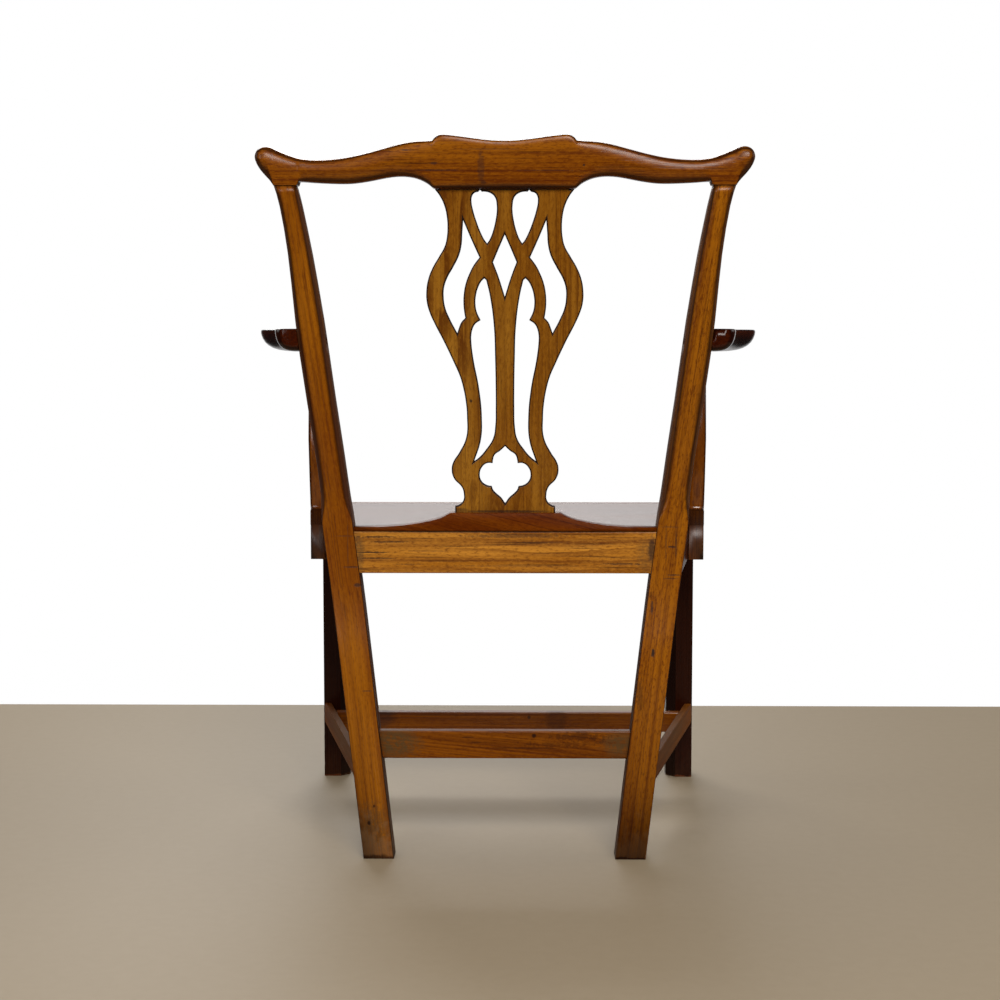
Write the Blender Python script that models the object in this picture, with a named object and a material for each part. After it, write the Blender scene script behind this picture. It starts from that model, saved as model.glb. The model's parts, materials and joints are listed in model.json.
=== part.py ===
"""Chippendale style open armchair in polished fruitwood, as separate joined pieces.

Metres, +Z up. The chair faces -Y, and +X is the sitter's left. The floor is at Z zero, and the
origin is midway between the front legs' faces and the back of the crest rail.
"""

import math

import bmesh
import bpy
import numpy as np
from mathutils import Vector

# Fits, cuts and worn edges
FIT = 0.0003
WELD = FIT / 10
OVERRUN = 0.003
ARRIS = 0.0015
HALF_SHARE = 0.495
EDGE_PROFILE = 0.5
TENON_ARRIS = 0.0004
ARRIS_STEPS = 2
ROUND_STEPS = 3
PEG_SIDES = 12

# The seat frame as a whole
OVERALL_DEPTH = 0.550
SEAT_HEIGHT = 0.4322
SEAT_FRAME_DEPTH = 0.462
FRONT_WIDTH = 0.5805

# Rear legs, each one piece with its stile
FOOT_SPAN = 0.3354
SEAT_SPAN = 0.4493
CREST_SPAN = 0.5666
FOOT_WIDTH = 0.0407
FOOT_DEPTH = 0.036
SEAT_LEG_WIDTH = 0.0416
SEAT_LEG_DEPTH = 0.040
FOOT_KICK = 0.062
STILE_TOP = 0.8874
STILE_TOP_WIDTH = 0.0295
STILE_TOP_DEPTH = 0.026
STILE_TENON_WIDTH = 0.014
STILE_TENON_DEPTH = 0.010
STILE_TENON_HEIGHT = 0.014
STILE_ROUND_WIDTH_SHARE = 0.33
STILE_ROUND_DEPTH_SHARE = 0.44
# Height share below the side rails, and the share of the foot's kick that is left there
KICK_SHARES = ((0.0, 1.0), (0.82, 0.13), (0.91, 0.045), (1.0, 0.0))
# Above the seat: height, sideways spread, width, rake and roundness, each as a share
STILE_SHARES = (
    (0.029, 0.025, 0.963, 0.008, 0.00),
    (0.050, 0.040, 0.917, 0.015, 0.25),
    (0.072, 0.059, 0.838, 0.026, 0.62),
    (0.100, 0.080, 0.726, 0.042, 0.90),
    (0.150, 0.126, 0.697, 0.078, 1.00),
    (0.240, 0.210, 0.688, 0.152, 1.00),
    (0.390, 0.363, 0.711, 0.296, 1.00),
    (0.520, 0.486, 0.740, 0.430, 1.00),
    (0.620, 0.571, 0.663, 0.540, 1.00),
    (0.730, 0.6625, 0.377, 0.665, 1.00),
    (0.810, 0.735, 0.174, 0.760, 1.00),
    (0.883, 0.818, 0.026, 0.850, 1.00),
    (0.945, 0.900, -0.036, 0.930, 0.95),
    (0.980, 0.959, -0.040, 0.975, 0.75),
    (1.000, 1.000, 0.00, 1.000, 0.55),
)

# Front legs
FRONT_LEG_SIZE = 0.040
LEG_CHAMFER = 0.014
CHAMFER_STOP = 0.016

# Seat rails
SIDE_RAIL_HEIGHT = 0.0682
SIDE_RAIL_THICKNESS = 0.031
SIDE_RAIL_REAR_SETBACK = 0.0062
REAR_RAIL_HEIGHT = 0.0565
REAR_RAIL_THICKNESS = 0.030
FRONT_RAIL_THICKNESS = 0.030
RAIL_REVEAL = 0.001
RAIL_TENON_THICKNESS = 0.009
RAIL_TENON_SHOULDER = 0.011
RAIL_TENON_SETBACK = 0.008
RAIL_TENON_WALL = 0.0015
LONG_TENON_LENGTH = 0.027
SIDE_TENON_EDGE = 0.010

# Pegs through the side rail and front rail joints
PEG_RADIUS = 0.003
PEG_SPACING = 0.026
PEG_DEPTH = 0.027
PEG_PROUD = 0.0006

# Stretchers
SIDE_STRETCHER_BOTTOM = 0.0856
SIDE_STRETCHER_HEIGHT = 0.0315
SIDE_STRETCHER_THICKNESS = 0.0125
STRETCHER_REVEAL = 0.0006
STRETCHER_TENON_LENGTH = 0.018
STRETCHER_TENON_THICKNESS = 0.007
STRETCHER_TENON_SHOULDER = 0.006
REAR_STRETCHER_BOTTOM = 0.1281
REAR_STRETCHER_HEIGHT = 0.0375
REAR_STRETCHER_THICKNESS = 0.016
REAR_STRETCHER_SETBACK = 0.006
MEDIAL_THICKNESS = 0.016
MEDIAL_HEIGHT = 0.0305
MEDIAL_SETBACK = 0.068
MEDIAL_TENON_LENGTH = 0.007

# Crest rail
CREST_WIDTH_RATIO = 1.1366
CREST_HEIGHT = 0.0649
CREST_THICKNESS = 0.028
CREST_LEAN = 0.013
CREST_EDGE_DEPTH = 0.0055
CREST_EDGE_SHARE = 0.18
CREST_ROUND_SHARE = 0.47
CREST_BACK_ROUND_RATIO = 1.1
CREST_FRONT_ROUND_RATIO = 0.8
# Reach from the middle, top and bottom height, thickness, back top and bottom roundness shares
CREST_SHARES = (
    (0.000, 0.868, -0.055, 1.00, 0.16, 0.14),
    (0.058, 0.881, -0.055, 1.00, 0.16, 0.14),
    (0.112, 0.913, -0.055, 1.00, 0.16, 0.14),
    (0.165, 0.950, -0.055, 1.00, 0.16, 0.14),
    (0.210, 0.980, -0.055, 1.00, 0.17, 0.14),
    (0.2506, 1.000, -0.055, 1.00, 0.18, 0.14),
    (0.268, 0.975, -0.055, 1.00, 0.18, 0.14),
    (0.281, 0.925, -0.055, 1.00, 0.18, 0.15),
    (0.2872, 0.878, -0.048, 1.00, 0.18, 0.16),
    (0.300, 0.872, 0.015, 0.99, 0.20, 0.18),
    (0.3174, 0.870, 0.071, 0.99, 0.22, 0.20),
    (0.338, 0.866, 0.120, 0.98, 0.24, 0.22),
    (0.360, 0.861, 0.157, 0.98, 0.26, 0.24),
    (0.388, 0.844, 0.178, 0.97, 0.28, 0.26),
    (0.4177, 0.819, 0.185, 0.97, 0.30, 0.28),
    (0.452, 0.775, 0.172, 0.96, 0.31, 0.30),
    (0.4896, 0.727, 0.140, 0.96, 0.32, 0.31),
    (0.525, 0.680, 0.103, 0.95, 0.33, 0.32),
    (0.5617, 0.633, 0.072, 0.95, 0.34, 0.33),
    (0.598, 0.592, 0.047, 0.95, 0.34, 0.33),
    (0.634, 0.556, 0.036, 0.95, 0.35, 0.33),
    (0.685, 0.522, 0.041, 0.95, 0.36, 0.33),
    (0.740, 0.506, 0.053, 0.95, 0.37, 0.32),
    (0.775, 0.510, 0.064, 0.96, 0.38, 0.30),
    (0.805, 0.525, 0.078, 0.96, 0.38, 0.25),
    (0.823, 0.540, 0.082, 0.97, 0.38, 0.12),
    (0.8285, 0.546, 0.010, 0.97, 0.39, 0.05),
    (0.832, 0.550, 0.000, 0.97, 0.39, 0.03),
    (0.880, 0.628, 0.000, 0.98, 0.41, 0.03),
    (0.917, 0.710, 0.000, 0.99, 0.43, 0.03),
    (0.926, 0.733, 0.000, 1.00, 0.44, 0.05),
    (0.936, 0.754, 0.072, 1.00, 0.45, 0.20),
    (0.948, 0.770, 0.140, 1.00, 0.46, 0.38),
    (0.962, 0.772, 0.212, 1.00, 0.47, 0.46),
    (0.975, 0.758, 0.287, 0.98, 0.48, 0.48),
    (0.986, 0.725, 0.362, 0.86, 0.48, 0.48),
    (0.994, 0.680, 0.437, 0.66, 0.48, 0.48),
    (0.9985, 0.625, 0.500, 0.40, 0.48, 0.48),
    (1.000, 0.585, 0.545, 0.18, 0.48, 0.48),
)

# Shoe under the splat
SHOE_HEIGHT = 0.0250
SHOE_THICKNESS = 0.025
SHOE_REVEAL = 0.0008
# Reach from the middle and height, as shares
SHOE_SHARES = (
    (0.000, 1.000), (0.344, 1.000), (0.358, 0.985), (0.378, 0.900), (0.402, 0.790),
    (0.432, 0.690), (0.465, 0.612), (0.500, 0.550), (0.567, 0.440), (0.669, 0.320),
    (0.804, 0.240), (1.000, 0.213),
)

# Splat
SPLAT_HALF_WIDTH = 0.1042
SPLAT_THICKNESS = 0.010
SPLAT_SETBACK = 0.0155
SPLAT_TENON_HEIGHT = 0.012
SPLAT_TENON_STEP = 0.006
SPLAT_SMOOTH_STEPS = 3
SPLAT_BEND_LEVELS = 7
# Each opening as (reach from the middle, height, is it a corner), in shares of half width and height
SPLAT_EDGE_SHARES = (
    (0.648, 0.000, 1), (0.647, 0.020, 1), (0.592, 0.024, 0), (0.541, 0.038, 0), (0.534, 0.058, 0),
    (0.557, 0.079, 0), (0.662, 0.109, 0), (0.689, 0.140, 0), (0.663, 0.163, 0), (0.594, 0.189, 0),
    (0.500, 0.238, 0), (0.487, 0.304, 0), (0.501, 0.351, 0), (0.533, 0.395, 0), (0.577, 0.433, 0),
    (0.637, 0.467, 0), (0.778, 0.541, 0), (0.883, 0.591, 0), (0.953, 0.630, 0), (0.985, 0.660, 0),
    (0.989, 0.694, 0), (0.965, 0.729, 0), (0.908, 0.764, 0), (0.823, 0.799, 0), (0.751, 0.830, 0),
    (0.723, 0.858, 0), (0.714, 0.889, 0), (0.721, 0.917, 0), (0.747, 0.948, 0), (0.804, 0.979, 0),
    (0.867, 1.000, 1),
)
SPLAT_SIDE_OPENING_SHARES = (
    (0.519, 0.908, 1), (0.419, 0.851, 0), (0.317, 0.796, 1), (0.389, 0.773, 0), (0.447, 0.746, 0),
    (0.491, 0.718, 0), (0.517, 0.686, 0), (0.522, 0.651, 0), (0.511, 0.626, 0), (0.501, 0.612, 1),
    (0.552, 0.598, 0), (0.580, 0.582, 0), (0.604, 0.565, 1), (0.698, 0.609, 0), (0.755, 0.644, 0),
    (0.773, 0.676, 0), (0.767, 0.704, 0), (0.730, 0.732, 0), (0.649, 0.767, 0), (0.576, 0.802, 0),
    (0.542, 0.834, 0), (0.531, 0.870, 0),
)
SPLAT_DROP_OPENING_SHARES = (
    (0.306, 0.999, 1), (0.284, 0.993, 1), (0.256, 0.9935, 0), (0.170, 0.988, 0), (0.120, 0.976, 0),
    (0.099, 0.953, 0), (0.099, 0.933, 0), (0.112, 0.910, 0), (0.142, 0.879, 0), (0.186, 0.851, 0),
    (0.219, 0.8385, 1), (0.245, 0.846, 0), (0.301, 0.872, 0), (0.350, 0.903, 0), (0.395, 0.939, 0),
    (0.413, 0.963, 0), (0.407, 0.979, 0), (0.379, 0.989, 0), (0.328, 0.993, 1),
)
SPLAT_DIAMOND_SHARES = (
    (0.000, 0.865, 1), (0.074, 0.824, 0), (0.148, 0.782, 1), (0.079, 0.738, 0), (0.000, 0.677, 1),
)
SPLAT_LOWER_OPENING_SHARES = (
    (0.259, 0.733, 1), (0.296, 0.724, 0), (0.339, 0.704, 0), (0.366, 0.679, 0), (0.372, 0.655, 0),
    (0.355, 0.630, 0), (0.307, 0.605, 1), (0.377, 0.593, 0), (0.410, 0.578, 0), (0.427, 0.558, 0),
    (0.427, 0.538, 0), (0.402, 0.485, 0), (0.333, 0.395, 0), (0.298, 0.304, 0), (0.311, 0.231, 0),
    (0.397, 0.163, 1), (0.329, 0.176, 0), (0.248, 0.199, 0), (0.155, 0.235, 0), (0.125, 0.276, 0),
    (0.119, 0.330, 0), (0.119, 0.395, 0), (0.125, 0.485, 0), (0.140, 0.587, 0), (0.188, 0.679, 0),
    (0.233, 0.727, 1),
)
SPLAT_QUATREFOIL_SHARES = (
    (0.000, 0.211, 1), (0.065, 0.196, 0), (0.132, 0.184, 0), (0.157, 0.166, 0), (0.161, 0.157, 1),
    (0.228, 0.157, 0), (0.292, 0.146, 0), (0.328, 0.122, 0), (0.303, 0.099, 0), (0.230, 0.086, 0),
    (0.173, 0.0835, 1), (0.157, 0.072, 0), (0.118, 0.061, 0), (0.053, 0.047, 0), (0.000, 0.028, 1),
)

# Arms
ARM_TOP = 0.7042
ARM_THICKNESS = 0.0325
ARM_SPAN = 0.758
ARM_WIDTH = 0.0485
ARM_STILE_INSET = 0.0115
ARM_SUPPORT_LAP = 0.0015
ARM_LENGTH = 0.437
ARM_BACK_SHARE = 0.32
ARM_EDGE = 0.003
ARM_EDGE_ROOM = 1.2
ARM_HOUSING_BELOW = 3
ARM_HOUSING_ABOVE = 4
ARM_UNDER_ROUND_SHARE = 0.86
ARM_OUTER_ROUND_RATIO = 1.7
ARM_INNER_ROUND_RATIO = 1.6
# Along the arm from the back: outer and inner turn, thickness, outer and inner under roundness
ARM_SHARES = (
    (0.000, -0.034, 0.332, 0.70, 0.30, 0.30),
    (0.010, 0.086, 0.250, 0.88, 0.40, 0.30),
    (0.030, 0.148, 0.199, 0.93, 0.44, 0.30),
    (0.090, 0.168, 0.169, 0.94, 0.46, 0.30),
    (0.170, 0.164, 0.155, 0.94, 0.46, 0.30),
    (0.260, 0.115, 0.139, 0.95, 0.46, 0.30),
    (0.370, 0.030, 0.104, 0.97, 0.46, 0.28),
    (0.480, 0.010, 0.076, 1.00, 0.46, 0.24),
    (0.580, 0.038, 0.050, 1.00, 0.46, 0.16),
    (0.660, 0.137, 0.025, 1.00, 0.48, 0.06),
    (0.730, 0.295, 0.003, 1.00, 0.48, 0.05),
    (0.780, 0.471, 0.010, 1.00, 0.48, 0.05),
    (0.830, 0.680, 0.090, 1.00, 0.47, 0.12),
    (0.860, 0.803, 0.179, 1.02, 0.46, 0.20),
    (0.895, 0.927, 0.325, 1.03, 0.46, 0.26),
    (0.925, 0.989, 0.483, 1.01, 0.46, 0.30),
    (0.950, 1.000, 0.641, 0.97, 0.46, 0.34),
    (0.970, 0.955, 0.798, 0.90, 0.46, 0.38),
    (0.985, 0.865, 0.944, 0.77, 0.44, 0.42),
    (0.995, 0.747, 1.080, 0.56, 0.40, 0.40),
    (1.000, 0.640, 1.192, 0.38, 0.30, 0.30),
)

# Arm supports
SUPPORT_BASE_DEPTH = 0.072
SUPPORT_STEP = 0.004
SUPPORT_LEDGE_RISE = 0.003
SUPPORT_LOWER_HEIGHT = 0.0502
SUPPORT_FROM_FRONT = 0.163
SUPPORT_PROUD = 0.0186
SUPPORT_BAND_PROUD = 0.0008
SUPPORT_SOFT_EDGE = 0.0045
SUPPORT_THICKNESS = 0.0230
SUPPORT_DEPTH = 0.046
SUPPORT_SWEEP = 0.016
SUPPORT_TENON_WIDTH = 0.014
SUPPORT_TENON_DEPTH = 0.020
SUPPORT_TENON_HEIGHT = 0.016
# Up the shaft: height, sweep towards the back, depth and outer face, as shares
SUPPORT_SHARES = (
    (0.00, 0.00, 1.00, 1.005), (0.05, 0.12, 0.95, 1.006), (0.12, 0.34, 0.86, 1.007),
    (0.22, 0.68, 0.76, 1.008), (0.34, 0.95, 0.68, 1.009), (0.46, 1.00, 0.64, 1.011),
    (0.58, 0.82, 0.63, 1.011), (0.70, 0.42, 0.65, 1.012), (0.82, -0.10, 0.71, 1.013),
    (0.92, -0.52, 0.80, 1.014), (1.00, -0.78, 0.90, 1.014),
)

# Screws, with the plugs that hide the arm screws
SCREW_HEAD_RADIUS = 0.0042
SCREW_HEAD_HEIGHT = 0.0030
SCREW_SHANK_RADIUS = 0.0022
SCREW_SLOT = 0.0008
SCREW_TAPER_SHARE = 0.75
SCREW_POINT_SHARE = 0.25
SUPPORT_SCREW_LENGTH = 0.040
SUPPORT_SCREW_SPACING = 0.036
SUPPORT_SCREW_RISE = 0.016
SUPPORT_SCREW_SINK = 0.004
ARM_SCREW_LENGTH = 0.042
ARM_SCREW_SINK = 0.009
PLUG_RADIUS = 0.0048

# Seat panel with its bearers and corner blocks
PANEL_THICKNESS = 0.016
PANEL_PROUD = 0.0008
PANEL_GAP = 0.001
PANEL_EDGE = 0.002
PANEL_EDGE_STEPS = 2
BEARER_WIDTH = 0.016
BEARER_HEIGHT = 0.022
BEARER_END_CLEARANCE = 0.002
BLOCK_LEG = 0.058
BLOCK_HEIGHT = 0.034
BLOCK_NOSE = 0.010

# Places worked out from the sizes above
FRONT_Y = -OVERALL_DEPTH / 2
BACK_Y = OVERALL_DEPTH / 2
SEAT_BACK_Y = FRONT_Y + SEAT_FRAME_DEPTH
LEG_REAR_Y = FRONT_Y + FRONT_LEG_SIZE
STILE_FRONT_Y = SEAT_BACK_Y - SEAT_LEG_DEPTH
RAIL_BOTTOM = SEAT_HEIGHT - SIDE_RAIL_HEIGHT
REAR_RAIL_BOTTOM = SEAT_HEIGHT - REAR_RAIL_HEIGHT
REAR_RAIL_FRONT_Y = SEAT_BACK_Y - REAR_RAIL_THICKNESS
FRONT_LEG_INNER = FRONT_WIDTH / 2 - FRONT_LEG_SIZE
FRONT_RAIL_FRONT_Y = FRONT_Y + RAIL_REVEAL
FRONT_RAIL_REAR_Y = FRONT_RAIL_FRONT_Y + FRONT_RAIL_THICKNESS
CREST_BASE = STILE_TOP + FIT
CREST_HALF = CREST_SPAN / 2 * CREST_WIDTH_RATIO
CREST_FLAT_TOP = CREST_BASE + CREST_HEIGHT * (1 - CREST_EDGE_SHARE)
CREST_OVERHANG = math.hypot(CREST_EDGE_DEPTH, CREST_LEAN * CREST_EDGE_SHARE) - CREST_EDGE_DEPTH
SHOE_TOP = SEAT_HEIGHT + FIT + SHOE_HEIGHT
SPLAT_TOP = CREST_BASE + CREST_HEIGHT * CREST_SHARES[0][2] - FIT
SPLAT_BASE = SHOE_TOP
ARM_HALF_SPAN = ARM_SPAN / 2
ARM_BOTTOM = ARM_TOP - ARM_THICKNESS

# Colours, roughness and metallic value of each kind of wood or metal
WOODS = {
    "frame_wood": ((0.26, 0.115, 0.032, 1.0), 0.32, 0.0),
    "rail_wood": ((0.32, 0.155, 0.045, 1.0), 0.36, 0.0),
    "shoe_wood": ((0.19, 0.062, 0.022, 1.0), 0.30, 0.0),
    "splat_wood": ((0.27, 0.130, 0.036, 1.0), 0.34, 0.0),
    "seat_wood": ((0.17, 0.070, 0.026, 1.0), 0.16, 0.0),
    "hidden_wood": ((0.36, 0.230, 0.110, 1.0), 0.75, 0.0),
    "peg_wood": ((0.15, 0.065, 0.025, 1.0), 0.45, 0.0),
    "screw_steel": ((0.16, 0.150, 0.140, 1.0), 0.45, 1.0),
}


def clear_scene():
    """Remove every object that the file opened with."""
    for obj in list(bpy.data.objects):
        bpy.data.objects.remove(obj, do_unlink=True)


def material(kind):
    """The Principled material of one kind of wood or metal."""
    found = bpy.data.materials.get(kind)
    if found:
        return found
    colour, roughness, metallic = WOODS[kind]
    made = bpy.data.materials.new(kind)
    made.use_nodes = True
    shader = made.node_tree.nodes["Principled BSDF"]
    shader.inputs["Base Color"].default_value = colour
    shader.inputs["Roughness"].default_value = roughness
    shader.inputs["Metallic"].default_value = metallic
    made.diffuse_color = colour
    return made


def add_object(name, bm, kind, smooth=False):
    """Turn a bmesh into a named object with its own material."""
    bmesh.ops.recalc_face_normals(bm, faces=bm.faces)
    mesh = bpy.data.meshes.new(name)
    bm.to_mesh(mesh)
    bm.free()
    obj = bpy.data.objects.new(name, mesh)
    bpy.context.scene.collection.objects.link(obj)
    mesh.materials.append(material(kind).copy())
    for face in mesh.polygons:
        face.use_smooth = smooth
    return obj


def rounded_outline(u_low, u_high, v_low, v_high, corners, steps=ARRIS_STEPS):
    """Points round a rectangle whose corners are quarter ellipses.

    corners holds a (u radius, v radius) for high-high, low-high, low-low and high-low.
    """
    half_u = (u_high - u_low) * HALF_SHARE
    half_v = (v_high - v_low) * HALF_SHARE
    places = ((u_high, v_high, -1, -1), (u_low, v_high, 1, -1), (u_low, v_low, 1, 1), (u_high, v_low, -1, 1))
    points = []
    for quarter, ((u, v, u_way, v_way), (u_radius, v_radius)) in enumerate(zip(places, corners)):
        u_radius = min(u_radius, half_u)
        v_radius = min(v_radius, half_v)
        for step in range(steps + 1):
            turn = (quarter + step / steps) * math.pi / 2
            points.append((u + u_way * u_radius + u_radius * math.cos(turn),
                           v + v_way * v_radius + v_radius * math.sin(turn)))
    return points


def square_outline(u_low, u_high, v_low, v_high, radius, steps=ARRIS_STEPS):
    """A rectangle's outline with one small radius at all four corners."""
    return rounded_outline(u_low, u_high, v_low, v_high, ((radius, radius),) * 4, steps)


def loft(rings):
    """Skin a closed solid over rings that hold the same number of points."""
    bm = bmesh.new()
    rows = [[bm.verts.new(point) for point in ring] for ring in rings]
    count = len(rows[0])
    for lower, upper in zip(rows, rows[1:]):
        for index in range(count):
            after = (index + 1) % count
            bm.faces.new((lower[index], lower[after], upper[after], upper[index]))
    bm.faces.new(rows[0])
    bm.faces.new(rows[-1])
    bmesh.ops.recalc_face_normals(bm, faces=bm.faces)
    return bm


def box_mesh(low, high):
    """A box between two corners, in any order of their coordinates."""
    bm = bmesh.new()
    bmesh.ops.create_cube(bm, size=1)
    low = Vector(low)
    high = Vector(high)
    middle = (low + high) / 2
    for vert in bm.verts:
        vert.co = middle + Vector(coordinate * abs(span) for coordinate, span in zip(vert.co, high - low))
    return bm


def rod_mesh(start, end, radius, sides=PEG_SIDES):
    """A round rod from one point to another."""
    bm = bmesh.new()
    bmesh.ops.create_circle(bm, cap_ends=True, radius=radius, segments=sides)
    run = Vector(end) - Vector(start)
    turn = run.to_track_quat("Z", "Y").to_matrix()
    for vert in bm.verts:
        vert.co = Vector(start) + turn @ vert.co
    lifted = bmesh.ops.extrude_face_region(bm, geom=list(bm.faces))["geom"]
    for vert in (item for item in lifted if isinstance(item, bmesh.types.BMVert)):
        vert.co += run
    bmesh.ops.recalc_face_normals(bm, faces=bm.faces)
    return bm


def joined(meshes):
    """Several separate bmeshes as one, for a cutter with several solids."""
    whole = bmesh.new()
    for bm in meshes:
        mesh = bpy.data.meshes.new("joined")
        bm.to_mesh(mesh)
        bm.free()
        whole.from_mesh(mesh)
        bpy.data.meshes.remove(mesh)
    return whole


def mirrored(bm, side):
    """The same bmesh on the sitter's left (side 1) or right (side -1)."""
    for vert in bm.verts:
        vert.co.x *= side
    bmesh.ops.recalc_face_normals(bm, faces=bm.faces)
    return bm


def cut(obj, meshes, side=1):
    """Cut the given solids out of an object with a Boolean modifier, and apply it."""
    tool = add_object("cutter", mirrored(joined(meshes), side), "hidden_wood")
    tool.hide_render = True
    tool.display_type = "WIRE"
    modifier = obj.modifiers.new("Joint", "BOOLEAN")
    modifier.operation = "DIFFERENCE"
    modifier.solver = "EXACT"
    modifier.object = tool
    bpy.context.view_layer.update()
    graph = bpy.context.evaluated_depsgraph_get()
    mesh = bpy.data.meshes.new_from_object(obj.evaluated_get(graph), depsgraph=graph)
    obj.modifiers.clear()
    old = obj.data
    obj.data = mesh
    mesh.name = obj.name
    bpy.data.meshes.remove(old)
    bpy.data.objects.remove(tool, do_unlink=True)


def share_between(start, end, share):
    """The value at a share of the way from start to end."""
    return start + (end - start) * share


def side_name(side):
    """left or right, as the sitter has it."""
    return "left" if side > 0 else "right"


def crest_back_y(height):
    """Y of the crest rail's back face at a height."""
    return BACK_Y - CREST_OVERHANG - CREST_LEAN * (CREST_FLAT_TOP - height) / CREST_HEIGHT


def rear_leg_rows():
    """Height, centre X, width, back Y, depth and roundness up a rear leg."""
    rows = []
    for height_share, kick_share in KICK_SHARES:
        height = RAIL_BOTTOM * height_share
        share = height / SEAT_HEIGHT
        depth = share_between(FOOT_DEPTH, SEAT_LEG_DEPTH, height_share)
        rows.append((height, share_between(FOOT_SPAN, SEAT_SPAN, share) / 2,
                     share_between(FOOT_WIDTH, SEAT_LEG_WIDTH, share),
                     SEAT_BACK_Y + FOOT_KICK * kick_share, depth, 0))
    rows.append((SEAT_HEIGHT, SEAT_SPAN / 2, SEAT_LEG_WIDTH, SEAT_BACK_Y, SEAT_LEG_DEPTH, 0))
    top_back_y = crest_back_y(STILE_TOP)
    for height_share, spread, width, rake, roundness in STILE_SHARES:
        rows.append((share_between(SEAT_HEIGHT, STILE_TOP, height_share),
                     share_between(SEAT_SPAN, CREST_SPAN, spread) / 2,
                     share_between(STILE_TOP_WIDTH, SEAT_LEG_WIDTH, width),
                     share_between(SEAT_BACK_Y, top_back_y, rake),
                     share_between(SEAT_LEG_DEPTH, STILE_TOP_DEPTH, height_share), roundness))
    return rows


LEG_ROWS = rear_leg_rows()


def leg_value(height, column):
    """One column of the rear leg's rows at any height."""
    return float(np.interp(height, [row[0] for row in LEG_ROWS], [row[column] for row in LEG_ROWS]))


def leg_outer_x(height):
    """X of a rear leg's outer face."""
    return leg_value(height, 1) + leg_value(height, 2) / 2


def leg_inner_x(height):
    """X of a rear leg's inner face."""
    return leg_value(height, 1) - leg_value(height, 2) / 2


def leg_back_y(height):
    """Y of a rear leg's back face, going on up the crest rail above the stiles."""
    return crest_back_y(height) if height > STILE_TOP else leg_value(height, 3)


def leg_front_y(height):
    """Y of a rear leg's front face."""
    return leg_value(height, 3) - leg_value(height, 4)


def rear_leg_ring(row, grow=0.0):
    """One level ring of a rear leg, grown outwards by a clearance."""
    height, middle, width, back_y, depth, roundness = row
    back = (share_between(ARRIS, width * STILE_ROUND_WIDTH_SHARE, roundness) + grow,
            share_between(ARRIS, depth * STILE_ROUND_DEPTH_SHARE, roundness) + grow)
    front = (ARRIS * (1 + roundness) + grow,) * 2
    outline = rounded_outline(middle - width / 2 - grow, middle + width / 2 + grow,
                              back_y - depth - grow, back_y + grow, (back, back, front, front), ROUND_STEPS)
    return [(x, y, height) for x, y in outline]


def level_ring(outline, height):
    """Lay an (x, y) outline flat at a height."""
    return [(x, y, height) for x, y in outline]


def stile_tenon_outline(grow=0.0):
    """Outline of the tenon on top of a stile."""
    middle = CREST_SPAN / 2
    centre_y = crest_back_y(STILE_TOP) - STILE_TOP_DEPTH / 2
    return square_outline(middle - STILE_TENON_WIDTH / 2 - grow, middle + STILE_TENON_WIDTH / 2 + grow,
                          centre_y - STILE_TENON_DEPTH / 2 - grow, centre_y + STILE_TENON_DEPTH / 2 + grow,
                          TENON_ARRIS, ROUND_STEPS)


def side_rail_outer_x(y):
    """X of a side rail's outer face at a place along it."""
    share = (y - LEG_REAR_Y) / (STILE_FRONT_Y - LEG_REAR_Y)
    rear = (SEAT_SPAN + SEAT_LEG_WIDTH) / 2 - SIDE_RAIL_REAR_SETBACK
    return share_between(FRONT_WIDTH / 2, rear, share) - RAIL_REVEAL


def side_rail_inner_x(y):
    """X of a side rail's inner face at a place along it."""
    return side_rail_outer_x(y) - SIDE_RAIL_THICKNESS


def side_tenon_x(y):
    """The two X faces of a side rail's tenon whose shoulder is at y."""
    outer = side_rail_outer_x(y) - SIDE_TENON_EDGE
    return outer - RAIL_TENON_THICKNESS, outer


def front_side_tenon_length():
    """Length of a side rail's front tenon, short of the front rail's tenon."""
    return FRONT_LEG_SIZE - RAIL_TENON_SETBACK - RAIL_TENON_THICKNESS - RAIL_TENON_WALL


def rear_side_tenon_length():
    """Length of a side rail's rear tenon, short of the rear rail's tenon."""
    return SEAT_LEG_DEPTH - RAIL_TENON_SETBACK - RAIL_TENON_THICKNESS - RAIL_TENON_WALL


def rail_tenon_heights(bottom):
    """Bottom and top of a seat rail's tenon."""
    return bottom + RAIL_TENON_SHOULDER, SEAT_HEIGHT - RAIL_TENON_SHOULDER


def front_rail_tenon_y():
    """The two Y faces of the front rail's tenons."""
    return FRONT_Y + RAIL_TENON_SETBACK, FRONT_Y + RAIL_TENON_SETBACK + RAIL_TENON_THICKNESS


def rear_rail_tenon_y():
    """The two Y faces of the rear rail's tenons."""
    return (SEAT_BACK_Y - RAIL_TENON_SETBACK - RAIL_TENON_THICKNESS, SEAT_BACK_Y - RAIL_TENON_SETBACK)


def tenon_box(low, high, grow=FIT):
    """A tenon's box grown by the clearance, as the mortise that takes it."""
    low = Vector(low) - Vector((grow, grow, grow))
    high = Vector(high) + Vector((grow, grow, grow))
    return box_mesh(low, high)


def front_side_mortise():
    """Mortise in a front leg for the side rail."""
    low_x, high_x = side_tenon_x(LEG_REAR_Y)
    low_z, high_z = rail_tenon_heights(RAIL_BOTTOM)
    return tenon_box((low_x, LEG_REAR_Y - front_side_tenon_length(), low_z),
                     (high_x, LEG_REAR_Y + OVERRUN, high_z))


def rear_side_mortise():
    """Mortise in a rear leg for the side rail."""
    low_x, high_x = side_tenon_x(STILE_FRONT_Y)
    low_z, high_z = rail_tenon_heights(RAIL_BOTTOM)
    return tenon_box((low_x, STILE_FRONT_Y - OVERRUN, low_z),
                     (high_x, STILE_FRONT_Y + rear_side_tenon_length(), high_z))


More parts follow.
